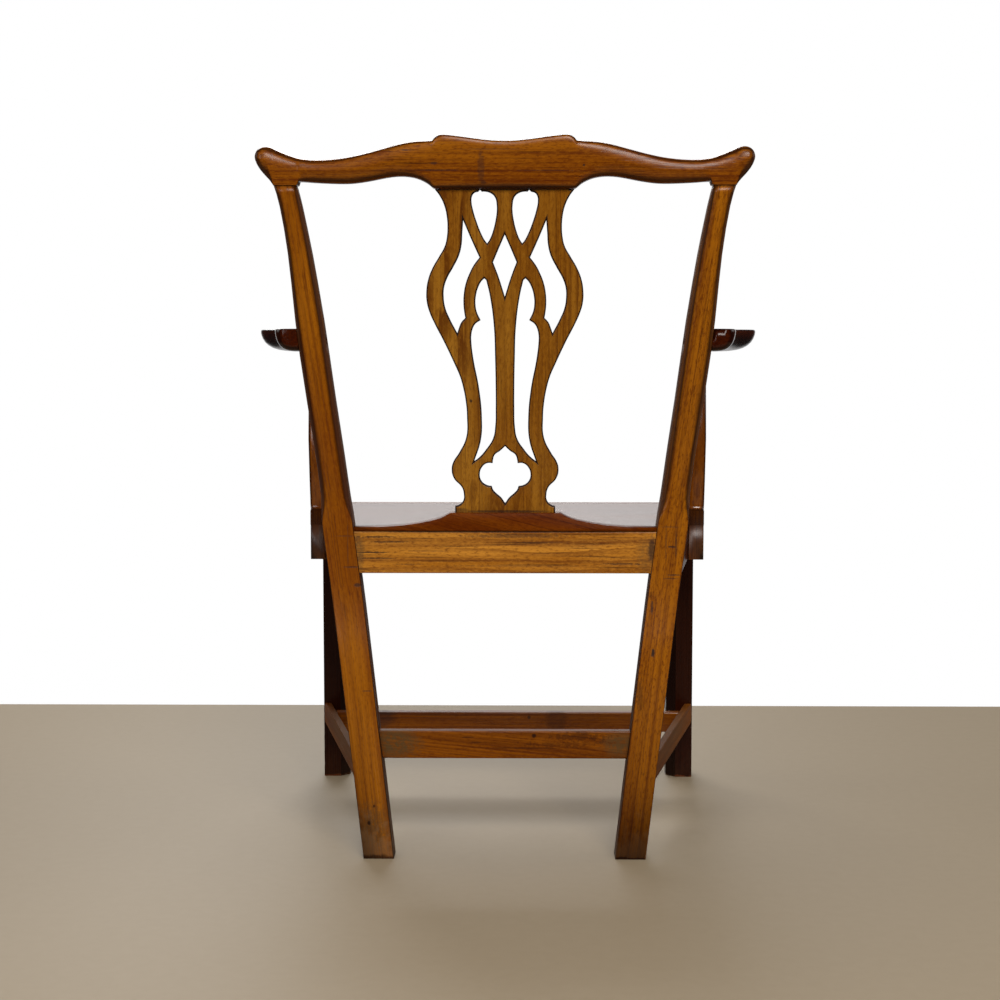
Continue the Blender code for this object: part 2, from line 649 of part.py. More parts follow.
def front_rail_mortise():
    """Mortise in a front leg for the front rail."""
    low_y, high_y = front_rail_tenon_y()
    low_z, high_z = rail_tenon_heights(RAIL_BOTTOM)
    return tenon_box((FRONT_LEG_INNER - OVERRUN, low_y, low_z),
                     (FRONT_LEG_INNER + LONG_TENON_LENGTH, high_y, high_z))


def rear_rail_mortise():
    """Mortise in a rear leg for the rear rail."""
    low_y, high_y = rear_rail_tenon_y()
    low_z, high_z = rail_tenon_heights(REAR_RAIL_BOTTOM)
    inner = leg_inner_x(high_z)
    return tenon_box((leg_inner_x(low_z) - OVERRUN, low_y, low_z),
                     (inner + LONG_TENON_LENGTH, high_y, high_z))


def side_stretcher_x(y):
    """The inner and outer X of a side stretcher at a place along it."""
    bottom = SIDE_STRETCHER_BOTTOM
    rear_y = leg_front_y(bottom)
    rear_x = leg_outer_x(bottom) - STRETCHER_REVEAL
    front_x = FRONT_WIDTH / 2 - STRETCHER_REVEAL
    outer = share_between(front_x, rear_x, (y - LEG_REAR_Y) / (rear_y - LEG_REAR_Y))
    return outer - SIDE_STRETCHER_THICKNESS, outer


def stretcher_tenon_x(y):
    """The two X faces of a side stretcher's tenon whose shoulder is at y."""
    inner, outer = side_stretcher_x(y)
    middle = (inner + outer) / 2
    return middle - STRETCHER_TENON_THICKNESS / 2, middle + STRETCHER_TENON_THICKNESS / 2


def stretcher_tenon_z(bottom, height):
    """Bottom and top of a stretcher's tenon."""
    return bottom + STRETCHER_TENON_SHOULDER, bottom + height - STRETCHER_TENON_SHOULDER


def rear_stretcher_y():
    """The front and back Y of the rear stretcher."""
    back = leg_back_y(REAR_STRETCHER_BOTTOM + REAR_STRETCHER_HEIGHT) - REAR_STRETCHER_SETBACK
    return back - REAR_STRETCHER_THICKNESS, back


def medial_y():
    """The front and back Y of the medial stretcher."""
    back = LEG_REAR_Y + MEDIAL_SETBACK
    return back - MEDIAL_THICKNESS, back


def front_stretcher_mortise():
    """Mortise in a front leg for the side stretcher."""
    low_x, high_x = stretcher_tenon_x(LEG_REAR_Y)
    low_z, high_z = stretcher_tenon_z(SIDE_STRETCHER_BOTTOM, SIDE_STRETCHER_HEIGHT)
    return tenon_box((low_x, LEG_REAR_Y - STRETCHER_TENON_LENGTH, low_z),
                     (high_x, LEG_REAR_Y + OVERRUN, high_z))


def rear_side_stretcher_mortise():
    """Mortise in a rear leg for the side stretcher."""
    low_z, high_z = stretcher_tenon_z(SIDE_STRETCHER_BOTTOM, SIDE_STRETCHER_HEIGHT)
    shoulder = leg_front_y(SIDE_STRETCHER_BOTTOM)
    low_x, high_x = stretcher_tenon_x(shoulder)
    return tenon_box((low_x, leg_front_y(high_z) - OVERRUN, low_z),
                     (high_x, shoulder + STRETCHER_TENON_LENGTH, high_z))


def rear_stretcher_tenon():
    """Low and high corners of the rear stretcher's tenon on the sitter's left."""
    low_z, high_z = stretcher_tenon_z(REAR_STRETCHER_BOTTOM, REAR_STRETCHER_HEIGHT)
    low_y, high_y = rear_stretcher_y()
    middle = (low_y + high_y) / 2
    half = STRETCHER_TENON_THICKNESS / 2
    return ((leg_inner_x(REAR_STRETCHER_BOTTOM), middle - half, low_z),
            (leg_inner_x(REAR_STRETCHER_BOTTOM) + STRETCHER_TENON_LENGTH, middle + half, high_z))


def peg_heights():
    """The two heights of the pegs through each joint of the side and front rails."""
    middle = (RAIL_BOTTOM + SEAT_HEIGHT) / 2
    return middle - PEG_SPACING / 2, middle + PEG_SPACING / 2


def peg_lines():
    """Start and end of each peg on the sitter's left, by name: the start is the outside end."""
    front_y = LEG_REAR_Y - front_side_tenon_length() / 2
    rear_y = STILE_FRONT_Y + rear_side_tenon_length() / 2
    low_y, high_y = front_rail_tenon_y()
    front_x = FRONT_LEG_INNER + (side_tenon_x(LEG_REAR_Y)[0] - FRONT_LEG_INNER) / 2
    lines = {}
    for word, height in zip(("low", "high"), peg_heights()):
        outer = FRONT_WIDTH / 2 + PEG_PROUD
        lines["peg_side_front_" + word] = ((outer, front_y, height), (outer - PEG_DEPTH, front_y, height))
        outer = leg_outer_x(height) + PEG_PROUD
        lines["peg_side_rear_" + word] = ((outer, rear_y, height), (outer - PEG_DEPTH, rear_y, height))
        start = FRONT_Y + FIT
        lines["peg_front_rail_" + word] = ((front_x, start, height),
                                           (front_x, high_y + PEG_RADIUS, height))
    return lines


def peg_hole(line):
    """The hole for one peg, run out past the face that the peg was driven into."""
    start, end = Vector(line[0]), Vector(line[1])
    way = (end - start).normalized()
    return rod_mesh(start - way * OVERRUN, end + way * FIT, PEG_RADIUS + FIT)


def screw_mesh(start, way, length, head=SCREW_HEAD_RADIUS):
    """A slotted countersunk wood screw as a turned solid, without its thread."""
    way = Vector(way).normalized()
    turn = way.to_track_quat("Z", "Y").to_matrix()
    outline = ((0, head), (SCREW_SLOT / 2, head), (SCREW_HEAD_HEIGHT, SCREW_SHANK_RADIUS),
               (length * SCREW_TAPER_SHARE, SCREW_SHANK_RADIUS), (length, SCREW_SHANK_RADIUS * SCREW_POINT_SHARE))
    rings = []
    for along, radius in outline:
        ring = []
        for index in range(PEG_SIDES):
            angle = 2 * math.pi * index / PEG_SIDES
            spot = Vector((radius * math.cos(angle), radius * math.sin(angle), along))
            ring.append(Vector(start) + turn @ spot)
        rings.append(ring)
    return loft(rings)


def screw_hole(start, way, length, sink):
    """Clearance for a screw whose head is sunk below the face."""
    way = Vector(way).normalized()
    turn = way.to_track_quat("Z", "Y").to_matrix()
    outline = ((-sink - OVERRUN, SCREW_HEAD_RADIUS + FIT), (SCREW_SLOT, SCREW_HEAD_RADIUS + FIT),
               (SCREW_HEAD_HEIGHT + FIT, SCREW_SHANK_RADIUS + FIT), (length + FIT, SCREW_SHANK_RADIUS + FIT))
    rings = []
    for along, radius in outline:
        ring = []
        for index in range(PEG_SIDES):
            angle = 2 * math.pi * index / PEG_SIDES
            spot = Vector((radius * math.cos(angle), radius * math.sin(angle), along))
            ring.append(Vector(start) + turn @ spot)
        rings.append(ring)
    return loft(rings)


def arm_screw():
    """Head centre and direction of the screw that holds an arm to its stile, on the left."""
    height = (ARM_TOP + ARM_BOTTOM) / 2
    y = (leg_back_y(height) + leg_front_y(height)) / 2
    return (leg_inner_x(height) + ARM_SCREW_SINK, y, height), (1, 0, 0)


def arm_plug_line():
    """Start and end of the plug over an arm screw, on the left."""
    start, way = arm_screw()
    face = leg_inner_x(start[2]) + ARRIS
    return (face, start[1], start[2]), (start[0] - FIT, start[1], start[2])


def support_screws():
    """Head centre and direction of the two screws into an arm support, on the left."""
    height = RAIL_BOTTOM + SUPPORT_SCREW_RISE
    found = []
    for offset in (-SUPPORT_SCREW_SPACING / 2, SUPPORT_SCREW_SPACING / 2):
        y = support_centre_y() + offset
        found.append(((side_rail_inner_x(y) + SUPPORT_SCREW_SINK, y, height), (1, 0, 0)))
    return found


def support_outer_x():
    """X of an arm support's outer face."""
    return side_rail_outer_x(support_centre_y()) + SUPPORT_PROUD


def support_centre_y():
    """Y of the middle of an arm support's base."""
    return FRONT_Y + SUPPORT_FROM_FRONT


def make_rear_leg(side):
    """Rear leg and stile in one piece, with its mortises, peg holes and top tenon."""
    rings = [rear_leg_ring(row) for row in LEG_ROWS]
    rings.append(level_ring(stile_tenon_outline(), STILE_TOP))
    rings.append(level_ring(stile_tenon_outline(), STILE_TOP + STILE_TENON_HEIGHT))
    leg = add_object("rear_leg_" + side_name(side), mirrored(loft(rings), side), "frame_wood", True)
    cut(leg, [rear_side_mortise(), rear_rail_mortise(), rear_side_stretcher_mortise(),
              tenon_box(*rear_stretcher_tenon_cut())], side)
    holes = [peg_hole(line) for name, line in peg_lines().items() if "side_rear" in name]
    start, way = arm_screw()
    holes.append(screw_hole(start, way, leg_outer_x(start[2]) - start[0] + OVERRUN, SCREW_SLOT))
    cut(leg, holes, side)
    plug_start, plug_end = arm_plug_line()
    run_out = (plug_start[0] - OVERRUN, plug_start[1], plug_start[2])
    cut(leg, [rod_mesh(run_out, plug_end, PLUG_RADIUS + FIT)], side)
    return leg


def rear_stretcher_tenon_cut():
    """The rear stretcher's tenon lengthened inwards, so that the cut runs out of the leg."""
    low, high = rear_stretcher_tenon()
    return (low[0] - OVERRUN, low[1], low[2]), high


def make_front_leg(side):
    """Square front leg with a stopped chamfer on its inner rear corner."""
    low_x, high_x = FRONT_LEG_INNER, FRONT_WIDTH / 2
    stop_top = RAIL_BOTTOM
    stop_bottom = RAIL_BOTTOM - CHAMFER_STOP
    rings = []
    levels = ((0, LEG_CHAMFER), (stop_bottom, LEG_CHAMFER), (stop_top, ARRIS), (SEAT_HEIGHT, ARRIS))
    for height, chamfer in levels:
        corners = ((ARRIS, ARRIS), (chamfer, chamfer), (ARRIS, ARRIS), (ARRIS, ARRIS))
        outline = []
        ring = rounded_outline(low_x, high_x, FRONT_Y, LEG_REAR_Y, corners, ARRIS_STEPS)
        first = ARRIS_STEPS + 1
        start, end = ring[first], ring[first + ARRIS_STEPS]
        for index, point in enumerate(ring):
            if first < index < first + ARRIS_STEPS:
                share = (index - first) / ARRIS_STEPS
                point = (share_between(start[0], end[0], share), share_between(start[1], end[1], share))
            outline.append(point)
        rings.append(level_ring(outline, height))
    leg = add_object("front_leg_" + side_name(side), mirrored(loft(rings), side), "frame_wood")
    cut(leg, [front_side_mortise(), front_rail_mortise(), front_stretcher_mortise()], side)
    holes = [peg_hole(line) for name, line in peg_lines().items() if "side_rear" not in name]
    cut(leg, holes, side)
    return leg


def make_side_rail(side):
    """Side seat rail between a front and a rear leg, tenoned at both ends."""
    front_y = LEG_REAR_Y + FIT
    rear_y = STILE_FRONT_Y - FIT
    low_z, high_z = rail_tenon_heights(RAIL_BOTTOM)

    def tenon_ring(shoulder, y):
        low_x, high_x = side_tenon_x(shoulder)
        return [(x, y, z) for x, z in square_outline(low_x, high_x, low_z, high_z, TENON_ARRIS)]

    def rail_ring(y):
        outline = square_outline(side_rail_inner_x(y), side_rail_outer_x(y), RAIL_BOTTOM, SEAT_HEIGHT, ARRIS)
        return [(x, y, z) for x, z in outline]

    rings = [tenon_ring(LEG_REAR_Y, LEG_REAR_Y - front_side_tenon_length()), tenon_ring(LEG_REAR_Y, front_y),
             rail_ring(front_y), rail_ring(rear_y), tenon_ring(STILE_FRONT_Y, rear_y),
             tenon_ring(STILE_FRONT_Y, STILE_FRONT_Y + rear_side_tenon_length())]
    rail = add_object("side_seat_rail_" + side_name(side), mirrored(loft(rings), side), "rail_wood")
    holes = [peg_hole(line) for name, line in peg_lines().items() if "peg_side" in name]
    for start, way in support_screws():
        holes.append(screw_hole(start, way, SIDE_RAIL_THICKNESS + OVERRUN, SUPPORT_SCREW_SINK))
    cut(rail, holes, side)
    return rail


def make_cross_rail(name, kind, bottom, y_low, y_high, tenon_y, shoulder_x, tenon_reach):
    """A rail along X with a tenon at each end; shoulder_x gives the leg's inner face by height."""
    low_z, high_z = rail_tenon_heights(bottom)

    def tenon_ring(way, reach):
        outline = square_outline(tenon_y[0], tenon_y[1], low_z, high_z, TENON_ARRIS)
        return [(way * reach(z), y, z) for y, z in outline]

    def rail_ring(way):
        outline = square_outline(y_low, y_high, bottom, SEAT_HEIGHT, ARRIS)
        return [(way * (shoulder_x(z) - FIT), y, z) for y, z in outline]

    rings = [tenon_ring(-1, tenon_reach), tenon_ring(-1, lambda z: shoulder_x(z) - FIT), rail_ring(-1),
             rail_ring(1), tenon_ring(1, lambda z: shoulder_x(z) - FIT), tenon_ring(1, tenon_reach)]
    return add_object(name, loft(rings), kind)


def make_front_rail():
    """Front seat rail between the front legs."""
    rail = make_cross_rail("front_seat_rail", "rail_wood", RAIL_BOTTOM, FRONT_RAIL_FRONT_Y, FRONT_RAIL_REAR_Y,
                           front_rail_tenon_y(), lambda z: FRONT_LEG_INNER,
                           lambda z: FRONT_LEG_INNER + LONG_TENON_LENGTH)
    lines = [line for name, line in peg_lines().items() if "front_rail" in name]
    for side in (1, -1):
        cut(rail, [peg_hole(line) for line in lines], side)
    return rail


def make_rear_rail():
    """Rear seat rail between the rear legs, its shoulders sloped to fit them."""
    top_tenon = rail_tenon_heights(REAR_RAIL_BOTTOM)[1]
    return make_cross_rail("rear_seat_rail", "rail_wood", REAR_RAIL_BOTTOM, REAR_RAIL_FRONT_Y, SEAT_BACK_Y,
                           rear_rail_tenon_y(), leg_inner_x,
                           lambda z: leg_inner_x(top_tenon) + LONG_TENON_LENGTH)


def make_side_stretcher(side):
    """Thin side stretcher between a front and a rear leg, with the medial stretcher's mortise."""
    bottom = SIDE_STRETCHER_BOTTOM
    top = bottom + SIDE_STRETCHER_HEIGHT
    low_z, high_z = stretcher_tenon_z(bottom, SIDE_STRETCHER_HEIGHT)
    rear_shoulder = leg_front_y(bottom)

    def rear_y(z):
        return leg_front_y(z) - FIT

    def tenon_ring(shoulder, place):
        low_x, high_x = stretcher_tenon_x(shoulder)
        outline = square_outline(low_x, high_x, low_z, high_z, TENON_ARRIS)
        return [(x, place(z), z) for x, z in outline]

    def body_ring(place):
        ring = []
        for u, z in square_outline(0, 1, bottom, top, ARRIS / SIDE_STRETCHER_THICKNESS):
            y = place(z)
            inner, outer = side_stretcher_x(y)
            ring.append((share_between(inner, outer, u), y, z))
        return ring

    rings = [tenon_ring(LEG_REAR_Y, lambda z: LEG_REAR_Y - STRETCHER_TENON_LENGTH),
             tenon_ring(LEG_REAR_Y, lambda z: LEG_REAR_Y + FIT), body_ring(lambda z: LEG_REAR_Y + FIT),
             body_ring(rear_y), tenon_ring(rear_shoulder, rear_y),
             tenon_ring(rear_shoulder, lambda z: rear_shoulder + STRETCHER_TENON_LENGTH)]
    stretcher = add_object("side_stretcher_" + side_name(side), mirrored(loft(rings), side), "frame_wood")
    low, high = medial_tenon()
    cut(stretcher, [tenon_box((low[0] - SIDE_STRETCHER_THICKNESS, low[1], low[2]), high)], side)
    return stretcher


def medial_tenon():
    """Low and high corners of the medial stretcher's tenon on the sitter's left."""
    low_y, high_y = medial_y()
    middle = (low_y + high_y) / 2
    half = STRETCHER_TENON_THICKNESS / 2
    low_z, high_z = stretcher_tenon_z(SIDE_STRETCHER_BOTTOM, MEDIAL_HEIGHT)
    reach = side_stretcher_x(high_y)[0] + MEDIAL_TENON_LENGTH
    return (side_stretcher_x(high_y)[0], middle - half, low_z), (reach, middle + half, high_z)


def make_medial_stretcher():
    """Cross stretcher that ties the two side stretchers."""
    low_y, high_y = medial_y()
    bottom = SIDE_STRETCHER_BOTTOM
    low, high = medial_tenon()

    def shoulder(y):
        return side_stretcher_x(y)[0] - FIT

    def tenon_ring(way, reach):
        outline = square_outline(low[1], high[1], low[2], high[2], TENON_ARRIS)
        return [(way * (reach if reach else shoulder(y)), y, z) for y, z in outline]

    def body_ring(way):
        outline = square_outline(low_y, high_y, bottom, bottom + MEDIAL_HEIGHT, ARRIS)
        return [(way * shoulder(y), y, z) for y, z in outline]

    rings = [tenon_ring(-1, high[0]), tenon_ring(-1, 0), body_ring(-1), body_ring(1), tenon_ring(1, 0),
             tenon_ring(1, high[0])]
    return add_object("medial_stretcher", loft(rings), "frame_wood")


def make_rear_stretcher():
    """Higher stretcher between the rear legs, its shoulders sloped to fit them."""
    low_y, high_y = rear_stretcher_y()
    bottom = REAR_STRETCHER_BOTTOM
    low, high = rear_stretcher_tenon()

    def shoulder(z):
        return leg_inner_x(z) - FIT

    def tenon_ring(way, reach):
        outline = square_outline(low[1], high[1], low[2], high[2], TENON_ARRIS)
        return [(way * (reach if reach else shoulder(z)), y, z) for y, z in outline]

    def body_ring(way):
        outline = square_outline(low_y, high_y, bottom, bottom + REAR_STRETCHER_HEIGHT, ARRIS)
        return [(way * shoulder(z), y, z) for y, z in outline]

    rings = [tenon_ring(-1, high[0]), tenon_ring(-1, 0), body_ring(-1), body_ring(1), tenon_ring(1, 0),
             tenon_ring(1, high[0])]
    return add_object("rear_stretcher", loft(rings), "frame_wood")


def crest_ring(way, row):
    """One upright ring of the crest rail across its length."""
    reach, top, bottom, thickness, top_round, bottom_round = row
    high = CREST_BASE + CREST_HEIGHT * top
    low = CREST_BASE + CREST_HEIGHT * bottom
    depth = CREST_THICKNESS * thickness
    inset = (CREST_THICKNESS - depth) / 2
    tall = CREST_HEIGHT
    top_size = min(top_round * tall, (high - low) * HALF_SHARE)
    bottom_size = min(bottom_round * tall, (high - low) * HALF_SHARE)
    wide = min(top_round * CREST_BACK_ROUND_RATIO, CREST_ROUND_SHARE) * depth
    low_wide = min(bottom_round, CREST_ROUND_SHARE) * depth
    corners = ((wide, top_size),
               (wide * CREST_FRONT_ROUND_RATIO, top_size * CREST_FRONT_ROUND_RATIO),
               (low_wide, bottom_size * CREST_FRONT_ROUND_RATIO),
               (low_wide, bottom_size))
    outline = rounded_outline(-depth - inset, -inset, low, high, corners, ROUND_STEPS)
    return [(way * CREST_HALF * reach, y + crest_back_y(z), z) for y, z in outline]


def splat_y(height):
    """Y of the middle of the splat at a height: it keeps to the rake of the stiles."""
    return leg_back_y(height) - SPLAT_SETBACK


def raked_slot(half_width, low, high, thickness):
    """A slot that follows the splat's slope between two heights."""
    rings = []
    for height in (low, high):
        y = splat_y(height)
        rings.append([(-half_width, y - thickness / 2, height), (half_width, y - thickness / 2, height),
                      (half_width, y + thickness / 2, height), (-half_width, y + thickness / 2, height)])
    return loft(rings)


def make_crest():
    """Serpentine crest rail with a raised middle and rounded ears."""
    rings = [crest_ring(-1, row) for row in reversed(CREST_SHARES)]
    rings += [crest_ring(1, row) for row in CREST_SHARES[1:]]
    crest = add_object("crest_rail", loft(rings), "frame_wood", True)
    tenon = stile_tenon_outline(FIT)
    for side in (1, -1):
        cut(crest, [loft([level_ring(tenon, STILE_TOP - OVERRUN),
                          level_ring(tenon, STILE_TOP + STILE_TENON_HEIGHT + FIT)])], side)
    half = splat_top_half() - SPLAT_TENON_STEP + FIT
    cut(crest, [raked_slot(half, SPLAT_TOP - OVERRUN, SPLAT_TOP + SPLAT_TENON_HEIGHT + FIT,
                           SPLAT_THICKNESS + 2 * FIT)])
    return crest


def splat_top_half():
    """Half width of the splat where it meets the crest rail."""
    return SPLAT_HALF_WIDTH * SPLAT_EDGE_SHARES[-1][0]


def splat_base_half():
    """Half width of the splat where it enters the shoe."""
    return SPLAT_HALF_WIDTH * SPLAT_EDGE_SHARES[0][0]


def make_shoe():
    """Shoe on the rear rail, swept up to the mortise that holds the splat's foot."""
    back = SEAT_BACK_Y - SHOE_REVEAL
    bottom = SEAT_HEIGHT + FIT
    rings = []
    rows = [(-1, row) for row in reversed(SHOE_SHARES)] + [(1, row) for row in SHOE_SHARES[1:]]
    for way, (reach, rise) in rows:
        top = bottom + SHOE_HEIGHT * rise
        outline = square_outline(back - SHOE_THICKNESS, back, bottom, top, ARRIS)
        ring = []
        for y, z in outline:
            x = (leg_inner_x(z) - FIT) * reach
            ring.append((way * x, y, z))
        rings.append(ring)
    shoe = add_object("splat_shoe", loft(rings), "shoe_wood")
    cut(shoe, [raked_slot(splat_base_half() + FIT, SPLAT_BASE - SPLAT_TENON_HEIGHT - FIT, SPLAT_BASE + OVERRUN,
                          SPLAT_THICKNESS + 2 * FIT)])
    return shoe


def splat_place(reach, rise):
    """X and Z of a point given as shares of the splat's half width and height."""
    return SPLAT_HALF_WIDTH * reach, share_between(SPLAT_BASE, SPLAT_TOP, rise)


def add_outline(curve, points):
    """Add one closed outline: smooth through its points, and sharp at its corners."""
    spline = curve.splines.new("BEZIER")
    spline.bezier_points.add(len(points) - 1)
    for knot, (x, z, corner) in zip(spline.bezier_points, points):
        knot.co = (x, z, 0)
        knot.handle_left_type = "VECTOR" if corner else "AUTO"
        knot.handle_right_type = "VECTOR" if corner else "AUTO"
    spline.use_cyclic_u = True


def shares_outline(shares, side=1):
    """The points of an outline table, on one side of the middle."""
    points = []
    for reach, rise, corner in shares:
        x, z = splat_place(reach, rise)
        points.append((x * side, z, corner))
    return points


def whole_outline(shares):
    """An outline that crosses the middle: the table's points, then their mirror images."""
    right = shares_outline(shares)
    left = [point for point in reversed(shares_outline(shares, -1)) if point[0] != 0]
    return right + left


def splat_boundary():
    """The splat's outer outline with the tenons that enter the shoe and the crest rail."""
    edge = shares_outline(SPLAT_EDGE_SHARES)
    foot = splat_base_half()
    head = splat_top_half() - SPLAT_TENON_STEP
    low = SPLAT_BASE - SPLAT_TENON_HEIGHT
    high = SPLAT_TOP + SPLAT_TENON_HEIGHT
    right = [(foot, low, 1)] + edge + [(head, SPLAT_TOP, 1), (head, high, 1)]
    return right + [(-x, z, corner) for x, z, corner in reversed(right)]


def make_splat():
    """Pierced vase splat: one outline and eight openings, extruded and bent to the rake."""
    curve = bpy.data.curves.new("splat_outline", "CURVE")
    curve.dimensions = "2D"
    curve.fill_mode = "BOTH"
    curve.resolution_u = SPLAT_SMOOTH_STEPS
    curve.extrude = SPLAT_THICKNESS / 2
    add_outline(curve, splat_boundary())
    add_outline(curve, whole_outline(SPLAT_DIAMOND_SHARES))
    add_outline(curve, whole_outline(SPLAT_QUATREFOIL_SHARES))
    for side in (1, -1):
        for shares in (SPLAT_SIDE_OPENING_SHARES, SPLAT_DROP_OPENING_SHARES, SPLAT_LOWER_OPENING_SHARES):
            add_outline(curve, shares_outline(shares, side))
    source = bpy.data.objects.new("splat_outline", curve)
    bpy.context.scene.collection.objects.link(source)
    bpy.context.view_layer.update()
    graph = bpy.context.evaluated_depsgraph_get()
    flat = bpy.data.meshes.new_from_object(source.evaluated_get(graph), depsgraph=graph)
    bpy.data.objects.remove(source, do_unlink=True)
    bm = bmesh.new()
    bm.from_mesh(flat)
    bpy.data.meshes.remove(flat)
    bmesh.ops.remove_doubles(bm, verts=bm.verts, dist=WELD)
    for level in range(1, SPLAT_BEND_LEVELS):
        height = share_between(SPLAT_BASE, SPLAT_TOP, level / SPLAT_BEND_LEVELS)
        bmesh.ops.bisect_plane(bm, geom=list(bm.verts) + list(bm.edges) + list(bm.faces), dist=WELD,
                               plane_co=(0, height, 0), plane_no=(0, 1, 0))
    for vert in bm.verts:
        x, z, away = vert.co
        vert.co = (x, splat_y(z) + away, z)
    return add_object("pierced_splat", bm, "splat_wood")


def arm_y(share):
    """Y at a share of the arm's length from its back end."""
    height = (ARM_TOP + ARM_BOTTOM) / 2
    back = share_between(leg_back_y(height), leg_front_y(height), ARM_BACK_SHARE)
    return back - ARM_LENGTH * share


def arm_line(share):
    """X of the line that an arm's inner edge starts from: stile to support, then straight ahead."""
    start = leg_inner_x((ARM_TOP + ARM_BOTTOM) / 2) + ARM_STILE_INSET
    end = support_outer_x() * SUPPORT_SHARES[-1][3] - SUPPORT_THICKNESS - ARM_SUPPORT_LAP
    reach = (arm_y(0) - support_centre_y()) / ARM_LENGTH
    return share_between(start, end, min(1, share / reach))


def arm_ring(row):
    """One upright ring of an arm, with a flat top and a rounded underside."""
    along, outer, inner, thickness, outer_round, inner_round = row
    turn = ARM_HALF_SPAN - ARM_WIDTH - arm_line(1)
    low_x = arm_line(along) + turn * inner
    high_x = arm_line(along) + ARM_WIDTH + turn * outer
    low = ARM_TOP - ARM_THICKNESS * thickness
    wide = high_x - low_x
    tall = ARM_TOP - low
    outer_tall = min(outer_round * ARM_OUTER_ROUND_RATIO, ARM_UNDER_ROUND_SHARE) * tall
    corners = ((ARM_EDGE, ARM_EDGE), (ARM_EDGE, ARM_EDGE),
               (inner_round * wide, inner_round * tall * ARM_INNER_ROUND_RATIO),
               (outer_round * wide, outer_tall))
    return [(x, arm_y(along), z) for x, z in arm_outline(low_x, high_x, low, ARM_TOP, corners)]


def arm_outline(low_x, high_x, low, high, corners):
    """A rectangle with small top corners and large under corners, which may differ."""
    under_limit = (high - low) - ARM_EDGE * ARM_EDGE_ROOM
    fixed = []
    for wide, tall in corners:
        fixed.append((wide, min(tall, under_limit)))
    places = ((high_x, high, -1, -1), (low_x, high, 1, -1), (low_x, low, 1, 1), (high_x, low, -1, 1))
    points = []
    for quarter, ((u, v, u_way, v_way), (u_radius, v_radius)) in enumerate(zip(places, fixed)):
        for step in range(ROUND_STEPS + 1):
            turn = (quarter + step / ROUND_STEPS) * math.pi / 2
            points.append((u + u_way * u_radius + u_radius * math.cos(turn),
                           v + v_way * v_radius + v_radius * math.sin(turn)))
    return points


def support_tenon():
    """Low and high corners of the tenon that an arm support lets into its arm, on the left."""
    height_share, sweep, depth, outer = SUPPORT_SHARES[-1]
    middle_y = support_centre_y() + SUPPORT_SWEEP * sweep
    middle_x = support_outer_x() * outer - SUPPORT_THICKNESS / 2
    half_x = SUPPORT_TENON_WIDTH / 2
    half_y = SUPPORT_TENON_DEPTH / 2
    return ((middle_x - half_x, middle_y - half_y, ARM_BOTTOM - FIT),
            (middle_x + half_x, middle_y + half_y, ARM_BOTTOM + SUPPORT_TENON_HEIGHT))


def make_arm(side):
    """Shaped arm: flat on top, housed over its stile and mortised for its support."""
    arm = add_object("arm_" + side_name(side), mirrored(loft([arm_ring(row) for row in ARM_SHARES]), side),
                     "frame_wood", True)
    low = ARM_BOTTOM - ARM_THICKNESS * ARM_HOUSING_BELOW
    high = ARM_TOP + ARM_THICKNESS * ARM_HOUSING_ABOVE
    near = [row for row in LEG_ROWS if low < row[0] < high]
    housing = loft([rear_leg_ring(row, FIT) for row in near])
    cut(arm, [housing], side)
    low, high = support_tenon()
    cut(arm, [tenon_box((low[0], low[1], low[2] - OVERRUN), high)], side)
    start, way = arm_screw()
    cut(arm, [screw_hole(start, way, ARM_SCREW_LENGTH, SCREW_SLOT)], side)
    return arm


def support_ring(row):
    """One level ring of an arm support's shaft."""
    height_share, sweep, depth, outer = row
    height = share_between(SEAT_HEIGHT + FIT, ARM_BOTTOM - FIT, height_share)
    middle_y = support_centre_y() + SUPPORT_SWEEP * sweep
    half = SUPPORT_DEPTH * depth / 2
    high_x = support_outer_x() * outer
    low_x = support_outer_x() * outer - SUPPORT_THICKNESS
    soft = (SUPPORT_SOFT_EDGE, SUPPORT_SOFT_EDGE)
    corners = (soft, (ARRIS, ARRIS), (ARRIS, ARRIS), soft)
    outline = rounded_outline(low_x, high_x, middle_y - half, middle_y + half, corners, ARRIS_STEPS)
    return level_ring(outline, height)


def support_base_ring(height, depth, outer):
    """One level ring of an arm support's stepped base."""
    middle_y = support_centre_y()
    low_x = support_outer_x() - SUPPORT_THICKNESS
    return level_ring(square_outline(low_x, outer, middle_y - depth / 2, middle_y + depth / 2, ARRIS), height)


def side_rail_housing():
    """The side rail's outer side and top grown by the clearance, to cut the support that laps it."""
    front = support_centre_y() - SUPPORT_BASE_DEPTH
    rear = support_centre_y() + SUPPORT_BASE_DEPTH
    low = RAIL_BOTTOM - SIDE_RAIL_HEIGHT
    high = SEAT_HEIGHT + FIT
    rings = []
    for y in (front, rear):
        inner = side_rail_inner_x(y) - SIDE_RAIL_THICKNESS
        outer = side_rail_outer_x(y) + FIT
        rings.append([(inner, y, low), (outer, y, low), (outer, y, high), (inner, y, high)])
    return loft(rings)


